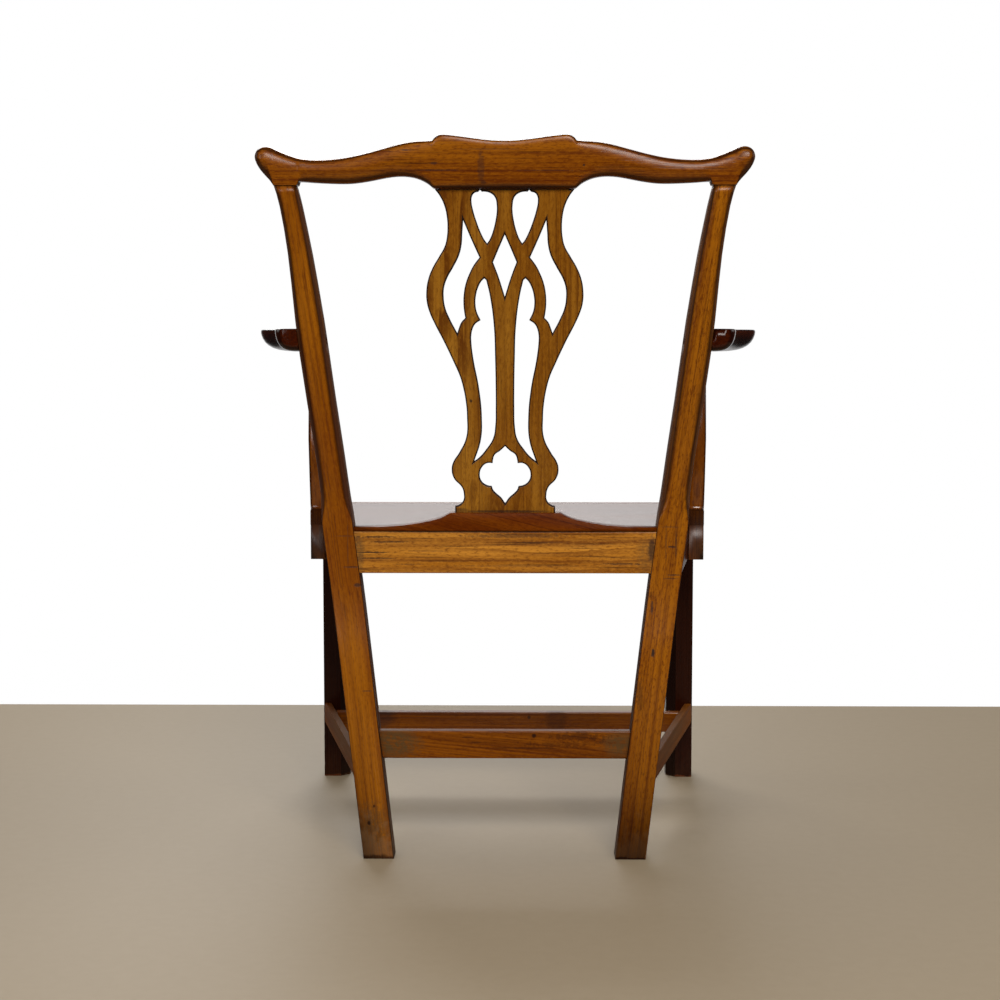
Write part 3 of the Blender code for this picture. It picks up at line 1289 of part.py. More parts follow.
def make_arm_support(side):
    """Swept arm support: stepped base outside the side rail, shaft above it, tenon into the arm."""
    lower_top = RAIL_BOTTOM + SUPPORT_LOWER_HEIGHT
    upper_top = SEAT_HEIGHT + FIT + SUPPORT_LEDGE_RISE
    second_depth = SUPPORT_BASE_DEPTH - 2 * SUPPORT_STEP
    second_outer = support_outer_x() + SUPPORT_BAND_PROUD
    rings = [support_base_ring(RAIL_BOTTOM, SUPPORT_BASE_DEPTH, support_outer_x()),
             support_base_ring(lower_top, SUPPORT_BASE_DEPTH, support_outer_x()),
             support_base_ring(lower_top + ARRIS, second_depth, second_outer),
             support_base_ring(upper_top, second_depth, second_outer)]
    first = support_ring(SUPPORT_SHARES[0])
    rings.append([(x, y, upper_top + ARRIS) for x, y, z in first])
    rings += [support_ring(row) for row in SUPPORT_SHARES[1:]]
    low, high = support_tenon()
    outline = square_outline(low[0], high[0], low[1], high[1], TENON_ARRIS)
    rings.append(level_ring(outline, ARM_BOTTOM - FIT))
    rings.append(level_ring(outline, high[2]))
    support = add_object("arm_support_" + side_name(side), mirrored(loft(rings), side), "frame_wood", True)
    cut(support, [side_rail_housing()], side)
    cut(support, [screw_hole(start, way, SUPPORT_SCREW_LENGTH, SUPPORT_SCREW_SINK)
                  for start, way in support_screws()], side)
    return support


def panel_half_width(y):
    """Half width of the seat panel at a place along it."""
    return side_rail_inner_x(y) - PANEL_GAP


def panel_outline():
    """The seat panel's outline, notched round all four legs, anticlockwise from the front."""
    front = FRONT_RAIL_REAR_Y + PANEL_GAP
    rear = REAR_RAIL_FRONT_Y - PANEL_GAP
    front_notch = LEG_REAR_Y + PANEL_GAP
    rear_notch = STILE_FRONT_Y - PANEL_GAP
    front_x = FRONT_LEG_INNER - PANEL_GAP
    rear_x = leg_inner_x(SEAT_HEIGHT - PANEL_THICKNESS) - PANEL_GAP
    right = [(front_x, front), (front_x, front_notch), (panel_half_width(front_notch), front_notch),
             (panel_half_width(rear_notch), rear_notch), (rear_x, rear_notch), (rear_x, rear)]
    return right + [(-x, y) for x, y in reversed(right)]


def prism(outline, low, high):
    """A flat outline extruded between two heights."""
    return loft([level_ring(outline, low), level_ring(outline, high)])


def make_seat_panel():
    """Solid wood drop-in seat panel, its top edge eased."""
    top = SEAT_HEIGHT + PANEL_PROUD
    bm = prism(panel_outline(), top - PANEL_THICKNESS, top)
    edges = [edge for edge in bm.edges if all(abs(vert.co.z - top) < FIT for vert in edge.verts)]
    bmesh.ops.bevel(bm, geom=edges, offset=PANEL_EDGE, segments=PANEL_EDGE_STEPS, profile=EDGE_PROFILE,
                    affect="EDGES", clamp_overlap=True)
    return add_object("seat_panel", bm, "seat_wood")


def panel_underside():
    """Height of the seat panel's underside."""
    return SEAT_HEIGHT + PANEL_PROUD - PANEL_THICKNESS


def block_front_y():
    """Y at which a rear corner block starts along its side rail."""
    return REAR_RAIL_FRONT_Y - BLOCK_LEG


def block_back_y():
    """Y at which a front corner block ends along its side rail."""
    return FRONT_RAIL_REAR_Y + BLOCK_LEG


def make_side_bearer(side):
    """Bearer glued inside a side rail, between the corner blocks, to carry the panel's edge."""
    front = block_back_y() + BEARER_END_CLEARANCE
    rear = block_front_y() - BEARER_END_CLEARANCE
    high = panel_underside() - FIT
    rings = []
    for y in (front, rear):
        outer = side_rail_inner_x(y) - FIT
        outline = square_outline(outer - BEARER_WIDTH, outer, high - BEARER_HEIGHT, high, ARRIS)
        rings.append([(x, y, z) for x, z in outline])
    bearer = add_object("seat_bearer_" + side_name(side), mirrored(loft(rings), side), "hidden_wood")
    return bearer


def make_cross_bearer(name, low_y, reach):
    """Bearer glued along the front or the rear rail between the corner blocks."""
    high = panel_underside() - FIT
    outline = square_outline(low_y, low_y + BEARER_WIDTH, high - BEARER_HEIGHT, high, ARRIS)
    rings = [[(way * reach, y, z) for y, z in outline] for way in (-1, 1)]
    return add_object(name, loft(rings), "hidden_wood")


def front_block_reach():
    """X at which a front corner block ends along the front rail."""
    return FRONT_LEG_INNER - BLOCK_LEG


def rear_block_reach():
    """X at which a rear corner block ends along the rear rail."""
    return leg_inner_x(panel_underside() - BLOCK_HEIGHT) - BLOCK_LEG


def make_corner_block(side, front):
    """Glued corner block in one corner of the seat frame, cut round the leg's corner."""
    high = panel_underside() - FIT
    low = high - BLOCK_HEIGHT
    if front:
        rail_y = FRONT_RAIL_REAR_Y + FIT
        leg_y = LEG_REAR_Y + FIT
        leg_x = FRONT_LEG_INNER - FIT
        far_y = block_back_y()
        reach = front_block_reach()
        way = 1
    else:
        rail_y = REAR_RAIL_FRONT_Y - FIT
        leg_y = STILE_FRONT_Y - FIT
        leg_x = leg_inner_x(low) - FIT
        far_y = block_front_y()
        reach = rear_block_reach()
        way = -1
    outline = [(leg_x, rail_y), (leg_x, leg_y), (side_rail_inner_x(leg_y) - FIT, leg_y),
               (side_rail_inner_x(far_y) - FIT, far_y),
               (side_rail_inner_x(far_y) - FIT - BLOCK_NOSE, far_y),
               (reach, rail_y + way * BLOCK_NOSE), (reach, rail_y)]
    name = "corner_block_" + ("front_" if front else "rear_") + side_name(side)
    return add_object(name, mirrored(prism(outline, low, high), side), "hidden_wood")


def make_fasteners(side):
    """Pegs, screws and plugs on one side of the chair."""
    for name, (start, end) in peg_lines().items():
        add_object(name + "_" + side_name(side), mirrored(rod_mesh(start, end, PEG_RADIUS), side), "peg_wood")
    for word, (start, way) in zip(("front", "rear"), support_screws()):
        add_object("support_screw_" + word + "_" + side_name(side),
                   mirrored(screw_mesh(start, way, SUPPORT_SCREW_LENGTH), side), "screw_steel", True)
    start, way = arm_screw()
    add_object("arm_screw_" + side_name(side), mirrored(screw_mesh(start, way, ARM_SCREW_LENGTH), side),
               "screw_steel", True)
    start, end = arm_plug_line()
    add_object("arm_screw_plug_" + side_name(side), mirrored(rod_mesh(start, end, PLUG_RADIUS), side),
               "peg_wood")


def make_back():
    """The back: crest rail, pierced splat and its shoe."""
    make_crest()
    make_splat()
    make_shoe()


def make_side(side):
    """Everything that the chair has once on each side."""
    make_rear_leg(side)
    make_front_leg(side)
    make_side_rail(side)
    make_side_stretcher(side)
    make_arm(side)
    make_arm_support(side)
    make_side_bearer(side)
    make_corner_block(side, True)
    make_corner_block(side, False)
    make_fasteners(side)


def make_middle():
    """Cross rails, cross stretchers, seat panel and cross bearers."""
    make_front_rail()
    make_rear_rail()
    make_rear_stretcher()
    make_medial_stretcher()
    make_seat_panel()
    make_cross_bearer("seat_bearer_front", FRONT_RAIL_REAR_Y + FIT,
                      front_block_reach() - BEARER_END_CLEARANCE)
    make_cross_bearer("seat_bearer_rear", REAR_RAIL_FRONT_Y - FIT - BEARER_WIDTH,
                      rear_block_reach() - BEARER_END_CLEARANCE)


clear_scene()
make_back()
for each_side in (1, -1):
    make_side(each_side)
make_middle()
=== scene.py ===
"""Looks of a polished fruitwood armchair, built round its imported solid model.

Metres, +Z up. The chair faces -Y and is seen from behind, from +Y. +X is the sitter's left.
"""

import json
import logging
import math
from dataclasses import dataclass, field
from enum import Enum
from typing import Sequence, Union

import bpy
import numpy as np
from mathutils import Matrix, Vector

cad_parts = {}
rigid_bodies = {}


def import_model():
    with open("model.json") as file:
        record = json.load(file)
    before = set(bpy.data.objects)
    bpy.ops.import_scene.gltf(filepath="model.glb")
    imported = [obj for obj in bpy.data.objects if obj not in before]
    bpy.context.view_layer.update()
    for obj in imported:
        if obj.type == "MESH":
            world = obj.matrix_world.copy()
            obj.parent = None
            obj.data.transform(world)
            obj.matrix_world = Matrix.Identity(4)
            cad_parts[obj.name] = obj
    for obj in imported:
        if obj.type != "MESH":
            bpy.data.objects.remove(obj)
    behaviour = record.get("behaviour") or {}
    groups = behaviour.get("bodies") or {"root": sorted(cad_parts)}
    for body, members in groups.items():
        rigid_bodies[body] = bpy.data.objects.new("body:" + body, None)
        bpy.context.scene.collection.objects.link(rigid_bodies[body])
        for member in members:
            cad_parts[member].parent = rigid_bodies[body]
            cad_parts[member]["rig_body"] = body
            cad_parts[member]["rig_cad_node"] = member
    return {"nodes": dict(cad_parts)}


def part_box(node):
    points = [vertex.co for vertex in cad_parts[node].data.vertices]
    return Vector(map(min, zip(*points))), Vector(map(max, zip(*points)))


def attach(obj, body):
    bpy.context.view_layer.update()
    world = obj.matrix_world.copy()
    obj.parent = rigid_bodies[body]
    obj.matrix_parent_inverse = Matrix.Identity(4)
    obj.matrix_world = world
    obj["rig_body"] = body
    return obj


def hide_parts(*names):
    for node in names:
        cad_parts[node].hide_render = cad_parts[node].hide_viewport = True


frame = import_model()

LOG = logging.getLogger("armchair")
Colour = tuple[float, float, float]
Triple = tuple[float, float, float]
Limits = tuple[float, float]
Number = Union[int, float]

FRAME_BODY = "chair_frame"
SIDES = {"left": 1, "right": -1}


class Grain(Enum):
    """Direction that the wood's grain runs in, as a unit vector along +X, +Y or +Z."""

    ACROSS = (1.0, 0.0, 0.0)
    DEEP = (0.0, 1.0, 0.0)
    UPRIGHT = (0.0, 0.0, 1.0)


class Sheen(Enum):
    """Roughness of a finish: how far the wax has been rubbed up."""

    BURNISHED = 0.17
    POLISHED = 0.27
    SATIN = 0.36
    DULL = 0.55
    SAWN = 0.85


class Value:
    """A shader socket that Python arithmetic can work on."""

    def __init__(self, graph: "Graph", socket: bpy.types.NodeSocket) -> None:
        """Wrap one output socket of a graph.

        Args:
            graph: The graph that new Math nodes go into.
            socket: The output to wrap.
        """
        self.graph = graph
        self.socket = socket

    def __add__(self, other: "Operand") -> "Value":
        """Sum."""
        return self.graph.maths("ADD", self, other)

    def __radd__(self, other: "Operand") -> "Value":
        """Sum with a number on the left."""
        return self.graph.maths("ADD", other, self)

    def __sub__(self, other: "Operand") -> "Value":
        """Difference."""
        return self.graph.maths("SUBTRACT", self, other)

    def __rsub__(self, other: "Operand") -> "Value":
        """Difference from a number on the left."""
        return self.graph.maths("SUBTRACT", other, self)

    def __mul__(self, other: "Operand") -> "Value":
        """Product."""
        return self.graph.maths("MULTIPLY", self, other)

    def __rmul__(self, other: "Operand") -> "Value":
        """Product with a number on the left."""
        return self.graph.maths("MULTIPLY", other, self)

    def __truediv__(self, other: "Operand") -> "Value":
        """Quotient."""
        return self.graph.maths("DIVIDE", self, other)

    def __rtruediv__(self, other: "Operand") -> "Value":
        """Quotient with a number on the left."""
        return self.graph.maths("DIVIDE", other, self)

    def fraction(self) -> "Value":
        """The part after the decimal point."""
        return self.graph.maths("FRACT", self)

    def root(self) -> "Value":
        """Square root."""
        return self.graph.maths("SQRT", self)

    def most(self, other: "Operand") -> "Value":
        """The larger of the two."""
        return self.graph.maths("MAXIMUM", self, other)

    def size(self) -> "Value":
        """The value without its sign."""
        return self.most(self * -1.0)

    def clamped(self) -> "Value":
        """The value held between 0 and 1."""
        return self.graph.maths("ADD", self, 0.0, clamp=True)

    def rise(self, low: float, high: float) -> "Value":
        """A smooth step.

        Args:
            low: Value that gives 0.
            high: Value that gives 1. It may be below low, and the step then falls.

        Returns:
            The smoothed share, from 0 to 1.
        """
        ends = (0.0, 1.0) if low < high else (1.0, 0.0)
        return self.graph.fade(self, (min(low, high), max(low, high)), ends)


Operand = Union[Value, Number]
Input = Union[Value, Number, tuple, bpy.types.NodeSocket]


@dataclass(frozen=True)
class Lean:
    """How an upright piece leans, so that its grain can follow it.

    Attributes:
        side: Change of X with height.
        upper_from: Height above which it leans back.
        above: Change of Y with height there.
        curve: How that change grows with height.
        lower_from: Height below which it leans back.
        below: Change of Y with depth there.
    """

    side: float = 0.0
    upper_from: float = 0.0
    above: float = 0.0
    curve: float = 0.0
    lower_from: float = 0.0
    below: float = 0.0


@dataclass(frozen=True)
class Pattern:
    """A noise pattern of the wood or of its wear.

    Attributes:
        scale: How many times it changes in a metre, about, along each axis.
        limits: The noise that gives none of it and all of it.
        shift: Offset that gives another part of the same noise.
        detail: Number of finer layers.
        rough: Strength of each finer layer.
        bend: How far the noise distorts itself.
    """

    scale: Triple
    limits: Limits = (0.0, 1.0)
    shift: float = 0.0
    detail: float = 2.0
    rough: float = 0.5
    bend: float = 0.0


MIDDLE_OF_NOISE = 0.5
SHIFT_DIRECTION: Triple = (1.0, 0.7, 1.3)
SEED_ALONG_GRAIN = 1.7
SEED_ACROSS_GRAIN = 0.02


class Graph:
    """The node tree of one material or world, filled by method calls."""

    def __init__(self, owner: Union[bpy.types.Material, bpy.types.World]) -> None:
        """Start an empty tree.

        Args:
            owner: The material or world that it belongs to.
        """
        self.owner = owner
        owner.use_nodes = True
        self.tree = owner.node_tree
        self.tree.nodes.clear()
        coordinates = self.node("ShaderNodeTexCoord").outputs
        self.place = Value(self, coordinates["Object"])
        self.facing = Value(self, coordinates["Normal"])
        self.direction = Value(self, coordinates["Generated"])

    def node(self, kind: str, settings: dict[str, object] | None = None,
             inputs: dict[Union[str, int], Input] | None = None) -> bpy.types.Node:
        """Add a node.

        Args:
            kind: The node's type, such as ShaderNodeTexNoise.
            settings: The node's own properties, which are set first.
            inputs: Values or links of its sockets, by name or number.

        Returns:
            The node.
        """
        made = self.tree.nodes.new(kind)
        for name, setting in (settings or {}).items():
            setattr(made, name, setting)
        for key, given in (inputs or {}).items():
            source = given.socket if isinstance(given, Value) else given
            if isinstance(source, bpy.types.NodeSocket):
                self.tree.links.new(source, made.inputs[key])
            else:
                made.inputs[key].default_value = source
        return made

    def result(self, kind: str, settings: dict[str, object] | None = None,
               inputs: dict[Union[str, int], Input] | None = None, output: int = 0) -> Value:
        """Add a node and give one of its outputs.

        Args:
            kind: The node's type.
            settings: The node's own properties.
            inputs: Values or links of its sockets.
            output: Number of the output.

        Returns:
            The output.
        """
        return Value(self, self.node(kind, settings, inputs).outputs[output])

    def maths(self, operation: str, first: Operand, second: Operand = 0.0, clamp: bool = False) -> Value:
        """Add a Math node.

        Args:
            operation: The node's operation.
            first: Its first input.
            second: Its second input.
            clamp: Whether the result is held between 0 and 1.

        Returns:
            Its result.
        """
        settings = {"operation": operation, "use_clamp": clamp}
        return self.result("ShaderNodeMath", settings, {0: first, 1: second})

    def fade(self, value: Value, limits: Limits, ends: Limits) -> Value:
        """A smooth change from one number to another.

        Args:
            value: What is measured.
            limits: Where the change starts and where it ends, the lower one first.
            ends: The result before and after it.

        Returns:
            The result.
        """
        return self.result("ShaderNodeMapRange", {"interpolation_type": "SMOOTHSTEP"},
                           {0: value, 1: limits[0], 2: limits[1], 3: ends[0], 4: ends[1]})

    def straightened(self, lean: Lean) -> Value:
        """Object coordinates with a piece's lean taken out.

        Args:
            lean: How the piece leans.

        Returns:
            The coordinates of the piece as if it stood straight.
        """
        across, back, height = self.axes(self.place)
        above = (height - lean.upper_from).most(0.0)
        below = (lean.lower_from - height).most(0.0)
        back = back - above * (above * lean.curve + lean.above) - below * lean.below
        straight = {0: across - height * lean.side, 1: back, 2: height}
        return self.result("ShaderNodeCombineXYZ", inputs=straight)

    def turned(self, place: Value, towards: Triple, seed: float) -> Value:
        """Coordinates turned so that X runs with the grain.

        Args:
            place: The coordinates.
            towards: Direction of the grain.
            seed: Number that moves the pattern, so that no two pieces are cut alike.

        Returns:
            The turned coordinates.
        """
        angles = Vector(towards).normalized().rotation_difference(Vector((1, 0, 0))).to_euler()
        cut = (seed * SEED_ALONG_GRAIN,
               math.sin(seed) * SEED_ACROSS_GRAIN,
               math.cos(seed) * SEED_ACROSS_GRAIN)
        return self.result("ShaderNodeMapping", {"vector_type": "POINT"},
                           {"Vector": place, "Rotation": tuple(angles), "Location": cut})

    def noise(self, place: Value, pattern: Pattern) -> Value:
        """Smooth noise.

        Args:
            place: The coordinates.
            pattern: How the noise is stretched and layered.

        Returns:
            A value about 0.5.
        """
        shift = tuple(pattern.shift * part for part in SHIFT_DIRECTION)
        stretched = self.result("ShaderNodeMapping", {"vector_type": "POINT"},
                                {"Vector": place, "Scale": pattern.scale, "Location": shift})
        return self.result("ShaderNodeTexNoise", {"noise_dimensions": "3D"},
                           {"Vector": stretched, "Scale": 1.0, "Detail": pattern.detail,
                            "Roughness": pattern.rough, "Distortion": pattern.bend})

    def axes(self, vector: Value) -> tuple[Value, Value, Value]:
        """The three components of a vector."""
        across, back, up = self.node("ShaderNodeSeparateXYZ", inputs={0: vector}).outputs
        return Value(self, across), Value(self, back), Value(self, up)

    def mix(self, share: Operand, first: Input, second: Input) -> Value:
        """Mix two colours.

        Args:
            share: Share of the second colour.
            first: A colour or a colour socket.
            second: A colour or a colour socket.

        Returns:
            The mixed colour.
        """
        before, after = [(*c, 1.0) if isinstance(c, tuple) else c for c in (first, second)]
        return self.result("ShaderNodeMix", {"data_type": "RGBA", "clamp_factor": True},
                           {0: share, 6: before, 7: after}, 2)

    def bump(self, height: Value, strength: float, distance: float) -> Value:
        """A bumped normal.

        Args:
            height: The height pattern, from 0 to 1.
            strength: Strength of the effect.
            distance: Height in metres that a value of 1 stands for.

        Returns:
            The normal.
        """
        return self.result("ShaderNodeBump",
                           inputs={"Height": height, "Strength": strength, "Distance": distance})

    def finish(self, colour: Input, roughness: Input, normal: Value | None = None, metallic: float = 0.0,
               gloss: float = 0.5) -> bpy.types.Material:
        """Close the material with a Principled shader.

        Args:
            colour: Base colour.
            roughness: Roughness.
            normal: Bumped normal, if any.
            metallic: 1 for bare metal.
            gloss: Specular level.

        Returns:
            The material.
        """
        inputs: dict[Union[str, int], Input] = {"Base Color": colour, "Roughness": roughness,
                                                "Metallic": metallic, "Specular IOR Level": gloss}
        if normal is not None:
            inputs["Normal"] = normal
        shader = self.node("ShaderNodeBsdfPrincipled", inputs=inputs)
        self.node("ShaderNodeOutputMaterial", inputs={"Surface": shader.outputs[0]})
        return self.owner


MARK_EDGE: Limits = (1.15, 0.55)


@dataclass(frozen=True)
class Mark:
    """A dark knot, crack, stain, worm hole or patch of painted shade: an ellipsoid in the chair's own
    coordinates.

    Attributes:
        centre: Its middle.
        reach: Its half size along X, Y and Z.
        depth: How dark it is, from 0 to 1.
        ragged: How far noise eats into its edge.
        greyed: Whether it is greyed wood and not a dark mark.
    """

    centre: Triple
    reach: Triple
    depth: float = 0.8
    ragged: float = 0.35
    greyed: bool = False

    def mask(self, graph: Graph, noise: Value) -> Value:
        """Where the mark is.

        Args:
            graph: The graph to build in.
            noise: Shared noise that breaks up the edge.

        Returns:
            The mark's strength at each place.
        """
        away = None
        for part, middle, half in zip(graph.axes(graph.place), self.centre, self.reach):
            step = (part - middle) / half
            away = step * step if away is None else away + step * step
        distance = away.root() + (noise - MIDDLE_OF_NOISE) * (2 * self.ragged)
        return distance.rise(*MARK_EDGE) * self.depth


@dataclass(frozen=True)
class WoodTone:
    """The colours of one kind of timber under its polish.

    Attributes:
        light: The gold of early wood.
        body: The main brown.
        deep: The red brown of late wood.
        dark: Pores, dirt, old wax, and the painted shade on edges, cheeks and some marks.
    """

    light: Colour
    body: Colour
    deep: Colour
    dark: Colour


FRUITWOOD = WoodTone(light=(0.300, 0.096, 0.0022), body=(0.190, 0.050, 0.0008),
                     deep=(0.078, 0.0120, 0.0004), dark=(0.010, 0.0015, 0.0002))
PALE_FRUITWOOD = WoodTone(light=(0.310, 0.130, 0.0110), body=(0.210, 0.073, 0.0035),
                          deep=(0.090, 0.022, 0.0008), dark=(0.012, 0.0024, 0.0003))
GOLDEN_FRUITWOOD = WoodTone(light=(0.540, 0.222, 0.0240), body=(0.330, 0.112, 0.0040),
                            deep=(0.110, 0.024, 0.0007), dark=(0.012, 0.0024, 0.0003))
REDDISH_FRUITWOOD = WoodTone(light=(0.210, 0.058, 0.0015), body=(0.125, 0.028, 0.0007),
                             deep=(0.055, 0.0080, 0.0004), dark=(0.008, 0.0012, 0.0002))
SHOE_FRUITWOOD = WoodTone(light=(0.185, 0.044, 0.0008), body=(0.100, 0.0180, 0.0004),
                          deep=(0.046, 0.0058, 0.0002), dark=(0.007, 0.0011, 0.0002))
# A darkened copy of the fruitwood. On the front legs, side rails and arms it is partly their darker finish
# and partly painted shade, for faces that sit in shade under the seat and the arms.
SHADED_FRUITWOOD = WoodTone(light=(0.085, 0.015, 0.0008), body=(0.040, 0.0054, 0.0004),
                            deep=(0.018, 0.0020, 0.0003), dark=(0.006, 0.0008, 0.0002))
BARE_TIMBER = WoodTone(light=(0.420, 0.260, 0.1200), body=(0.330, 0.190, 0.0800),
                       deep=(0.240, 0.120, 0.0450), dark=(0.090, 0.0400, 0.0150))
GREYED: Colour = (0.080, 0.042, 0.014)
BLEACHED: Colour = (0.200, 0.110, 0.050)

FIBRE = Pattern((1.3, 340, 340), (0.48, 0.66), detail=3, rough=0.7)
PORES = Pattern((9, 560, 560), (0.60, 0.72), 5.0, detail=1, rough=0.5)
CLOUDS = Pattern((2.2, 15, 15), (0.36, 0.64), 2.0, detail=3, rough=0.55, bend=0.4)
STREAKS = Pattern((0.8, 95, 95), (0.47, 0.68), 7.0, detail=4, rough=0.60)
CRACKLE = Pattern((130, 420, 420), (0.50, 0.66), 9.0, detail=3, rough=0.65)
LIGHT_CRACKLE: Limits = (0.46, 0.34)
RING_DRIFT = Pattern((2.3, 10, 10), (0.30, 0.60), detail=2, rough=0.5)
RING_SHAKE = Pattern((9, 60, 60), shift=3.0, detail=2, rough=0.5)
RAGGED = Pattern((210, 210, 210), (0.96, 1.0), 1.0, detail=3, rough=0.65)
PITTED: Limits = (0.38, 0.58)
SCUFFS = Pattern((70, 70, 45), (0.58, 0.70), 4.0, detail=4, rough=0.65)
RUST = Pattern((420, 420, 420), (0.5, 0.7), detail=3, rough=0.6)
FLOOR_SPECKLE = Pattern((60, 60, 60), detail=2, rough=0.5)


class EdgeDirtAndShade(Enum):
    """Where a piece's edges and turned faces are darkened: partly old polish and dirt, partly painted shade
    on surfaces that turn away from the light.
    """

    NONE = "none"
    # Painted shade and dirt on the rounded arrises, which turn away from the light.
    ARRIS = "on the rounded arrises"
    # The same, with painted shade also on the cheeks, which face left or right.
    CHEEKS = "on the rounded arrises and thinly on the cheeks"
    # Painted shade and dirt on the sawn sides, such as those of the splat's openings.
    SAWN = "on the edges that the piece's own attribute marks as sawn"


SAWN_ATTRIBUTE = "sawn_edge"


@dataclass(frozen=True)
class Relief:
    """How much each part of the grain adds to the roughness or to the height of the surface.

    Attributes:
        fibre: Share of the fine lines.
        rings: Share of the growth rings.
        pores: Share of the pores.
        clouds: Share of the slow changes.
        worn: Share of the marks.
        cheeks: Share of how far the surface faces left or right.
        sawn: Share of the dirt and painted shade on sawn edges.
    """

    fibre: float = 0.0
    rings: float = 0.0
    pores: float = 0.0
    clouds: float = 0.0
    worn: float = 0.0
    cheeks: float = 0.0
    sawn: float = 0.0


ROUGHENED = Relief(fibre=0.10, clouds=0.08, worn=0.35, cheeks=0.40, sawn=0.45)
RAISED = Relief(fibre=0.5, rings=-0.25, pores=-0.8, clouds=1.5, worn=-1.5)
WOOD_BUMP = (0.14, 0.0006)
STEEL_BUMP = (0.2, 0.0002)
END_GRAIN_BUMP = (0.2, 0.0003)


@dataclass(frozen=True)
class WoodFinish:
    """A polished wood with its own cut, grain and wear.

    Attributes:
        tone: The timber's colours.
        grain: Direction of the grain.
        sheen: How glossy it is.
        seed: Number that moves the pattern.
        ring_gap: Distance between growth rings, in metres.
        ring_strength: How dark the late wood lines are.
        figure: How far the rings wander, in metres.
        fleck: Strength of the dark pores.
        patch: Strength of the slow changes of colour.
        streaks: Strength of the broad dark streaks along the grain.
        lines: Strength of the fine dark lines along the grain.
        grit: Strength of the fine crackle of old polish.
        gloss: Specular level of its polish.
        edges: Where its edges are dark.
        lean: How the piece leans, if its grain leans with it.
        foot_dirt: Height up to which the foot is scuffed, in metres, or 0.
        marks: Knots, cracks and stains.
    """

    tone: WoodTone
    grain: Triple
    sheen: Sheen
    seed: float
    ring_gap: float = 0.0060
    ring_strength: float = 0.22
    figure: float = 0.016
    fleck: float = 0.5
    patch: float = 0.55
    streaks: float = 0.50
    lines: float = 0.60
    grit: float = 0.40
    gloss: float = 0.20
    edges: EdgeDirtAndShade = EdgeDirtAndShade.ARRIS
    lean: Lean | None = None
    foot_dirt: float = 0.0
    marks: tuple[Mark, ...] = field(default=())

    def material(self, name: str) -> bpy.types.Material:
        """Build the finish's material.

        Args:
            name: Name of the material.

        Returns:
            The material.
        """
        graph = Graph(bpy.data.materials.new(name))
        place = graph.straightened(self.lean) if self.lean else graph.place
        wood = graph.turned(place, self.grain, self.seed)
        rings = self._rings(graph, wood)
        fibre = graph.noise(wood, FIBRE)
        pores = graph.noise(wood, PORES).rise(*PORES.limits)
        clouds = graph.noise(wood, CLOUDS)
        streaks = graph.noise(wood, STREAKS)
        colour = self._figured(graph, wood, (rings, fibre, pores, clouds, streaks))
        # Painted shade and dirt: edges, cheeks and sawn sides go towards the dark tone.
        darkening = self._edge_dirt_and_shade(graph, clouds)
        colour = graph.mix(darkening, colour, self.tone.dark)
        ragged = graph.noise(graph.place, RAGGED)
        if any(mark.greyed for mark in self.marks):
            least, more = 0.4, 0.6
            pitted = ragged.rise(*PITTED) * more + least
            colour = graph.mix(self._marked(graph, ragged, True) * pitted, colour, GREYED)
        worn = self._marked(graph, ragged, False)
        colour = graph.mix(worn, colour, self.tone.dark)
        if self.foot_dirt:
            colour = self._scuffed(graph, colour, streaks)
        roughness = (self.sheen.value + (fibre - MIDDLE_OF_NOISE) * ROUGHENED.fibre + worn * ROUGHENED.worn
                     + (clouds - MIDDLE_OF_NOISE) * ROUGHENED.clouds)
        if self.edges is EdgeDirtAndShade.CHEEKS:
            roughness = roughness + self._cheeks(graph) * ROUGHENED.cheeks
        elif self.edges is EdgeDirtAndShade.SAWN:
            roughness = roughness + darkening * ROUGHENED.sawn
        height = (fibre * RAISED.fibre + rings * RAISED.rings + pores * RAISED.pores + worn * RAISED.worn
                  + clouds * RAISED.clouds)
        return graph.finish(colour, roughness.clamped(), graph.bump(height, *WOOD_BUMP), gloss=self.gloss)

    def _figured(self, graph: Graph, wood: Value, grain: tuple[Value, ...]) -> Value:
        """The colour of the clean wood.

        Args:
            graph: The graph to build in.
            wood: Coordinates with X along the grain.
            grain: The rings, fibre, pores, clouds and streaks.

        Returns:
            The colour.
        """
        rings, fibre, pores, clouds, streaks = grain
        least_patch, light_grit, pore_depth = 0.35, 0.6, 0.8
        tone = self.tone
        colour = graph.mix(clouds.rise(*CLOUDS.limits) * (least_patch + self.patch), tone.body, tone.light)
        colour = graph.mix(streaks.rise(*STREAKS.limits) * self.streaks, colour, tone.deep)
        colour = graph.mix(rings * self.ring_strength, colour, tone.deep)
        colour = graph.mix(fibre.rise(*FIBRE.limits) * self.lines, colour, tone.deep)
        crackle = graph.noise(wood, CRACKLE)
        colour = graph.mix(crackle.rise(*CRACKLE.limits) * self.grit, colour, tone.deep)
        colour = graph.mix(crackle.rise(*LIGHT_CRACKLE) * (light_grit * self.grit), colour, tone.light)
        return graph.mix(pores * (pore_depth * self.fleck), colour, tone.dark)

    @staticmethod
    def _cheeks(graph: Graph) -> Value:
        """How far the surface faces left or right, from 0 to 1."""
        starts, whole = 0.55, 0.85
        return graph.axes(graph.facing)[0].size().rise(starts, whole)

    def _edge_dirt_and_shade(self, graph: Graph, clouds: Value) -> Operand:
        """Darkened edges and turned faces, found by which way the surface faces or by the attribute: partly
        old polish and dirt, partly painted shade.

        Args:
            graph: The graph to build in.
            clouds: A slow noise, which makes it uneven.

        Returns:
            Its strength at each place.
        """
        if self.edges is EdgeDirtAndShade.NONE:
            return 0.0
        if self.edges is EdgeDirtAndShade.SAWN:
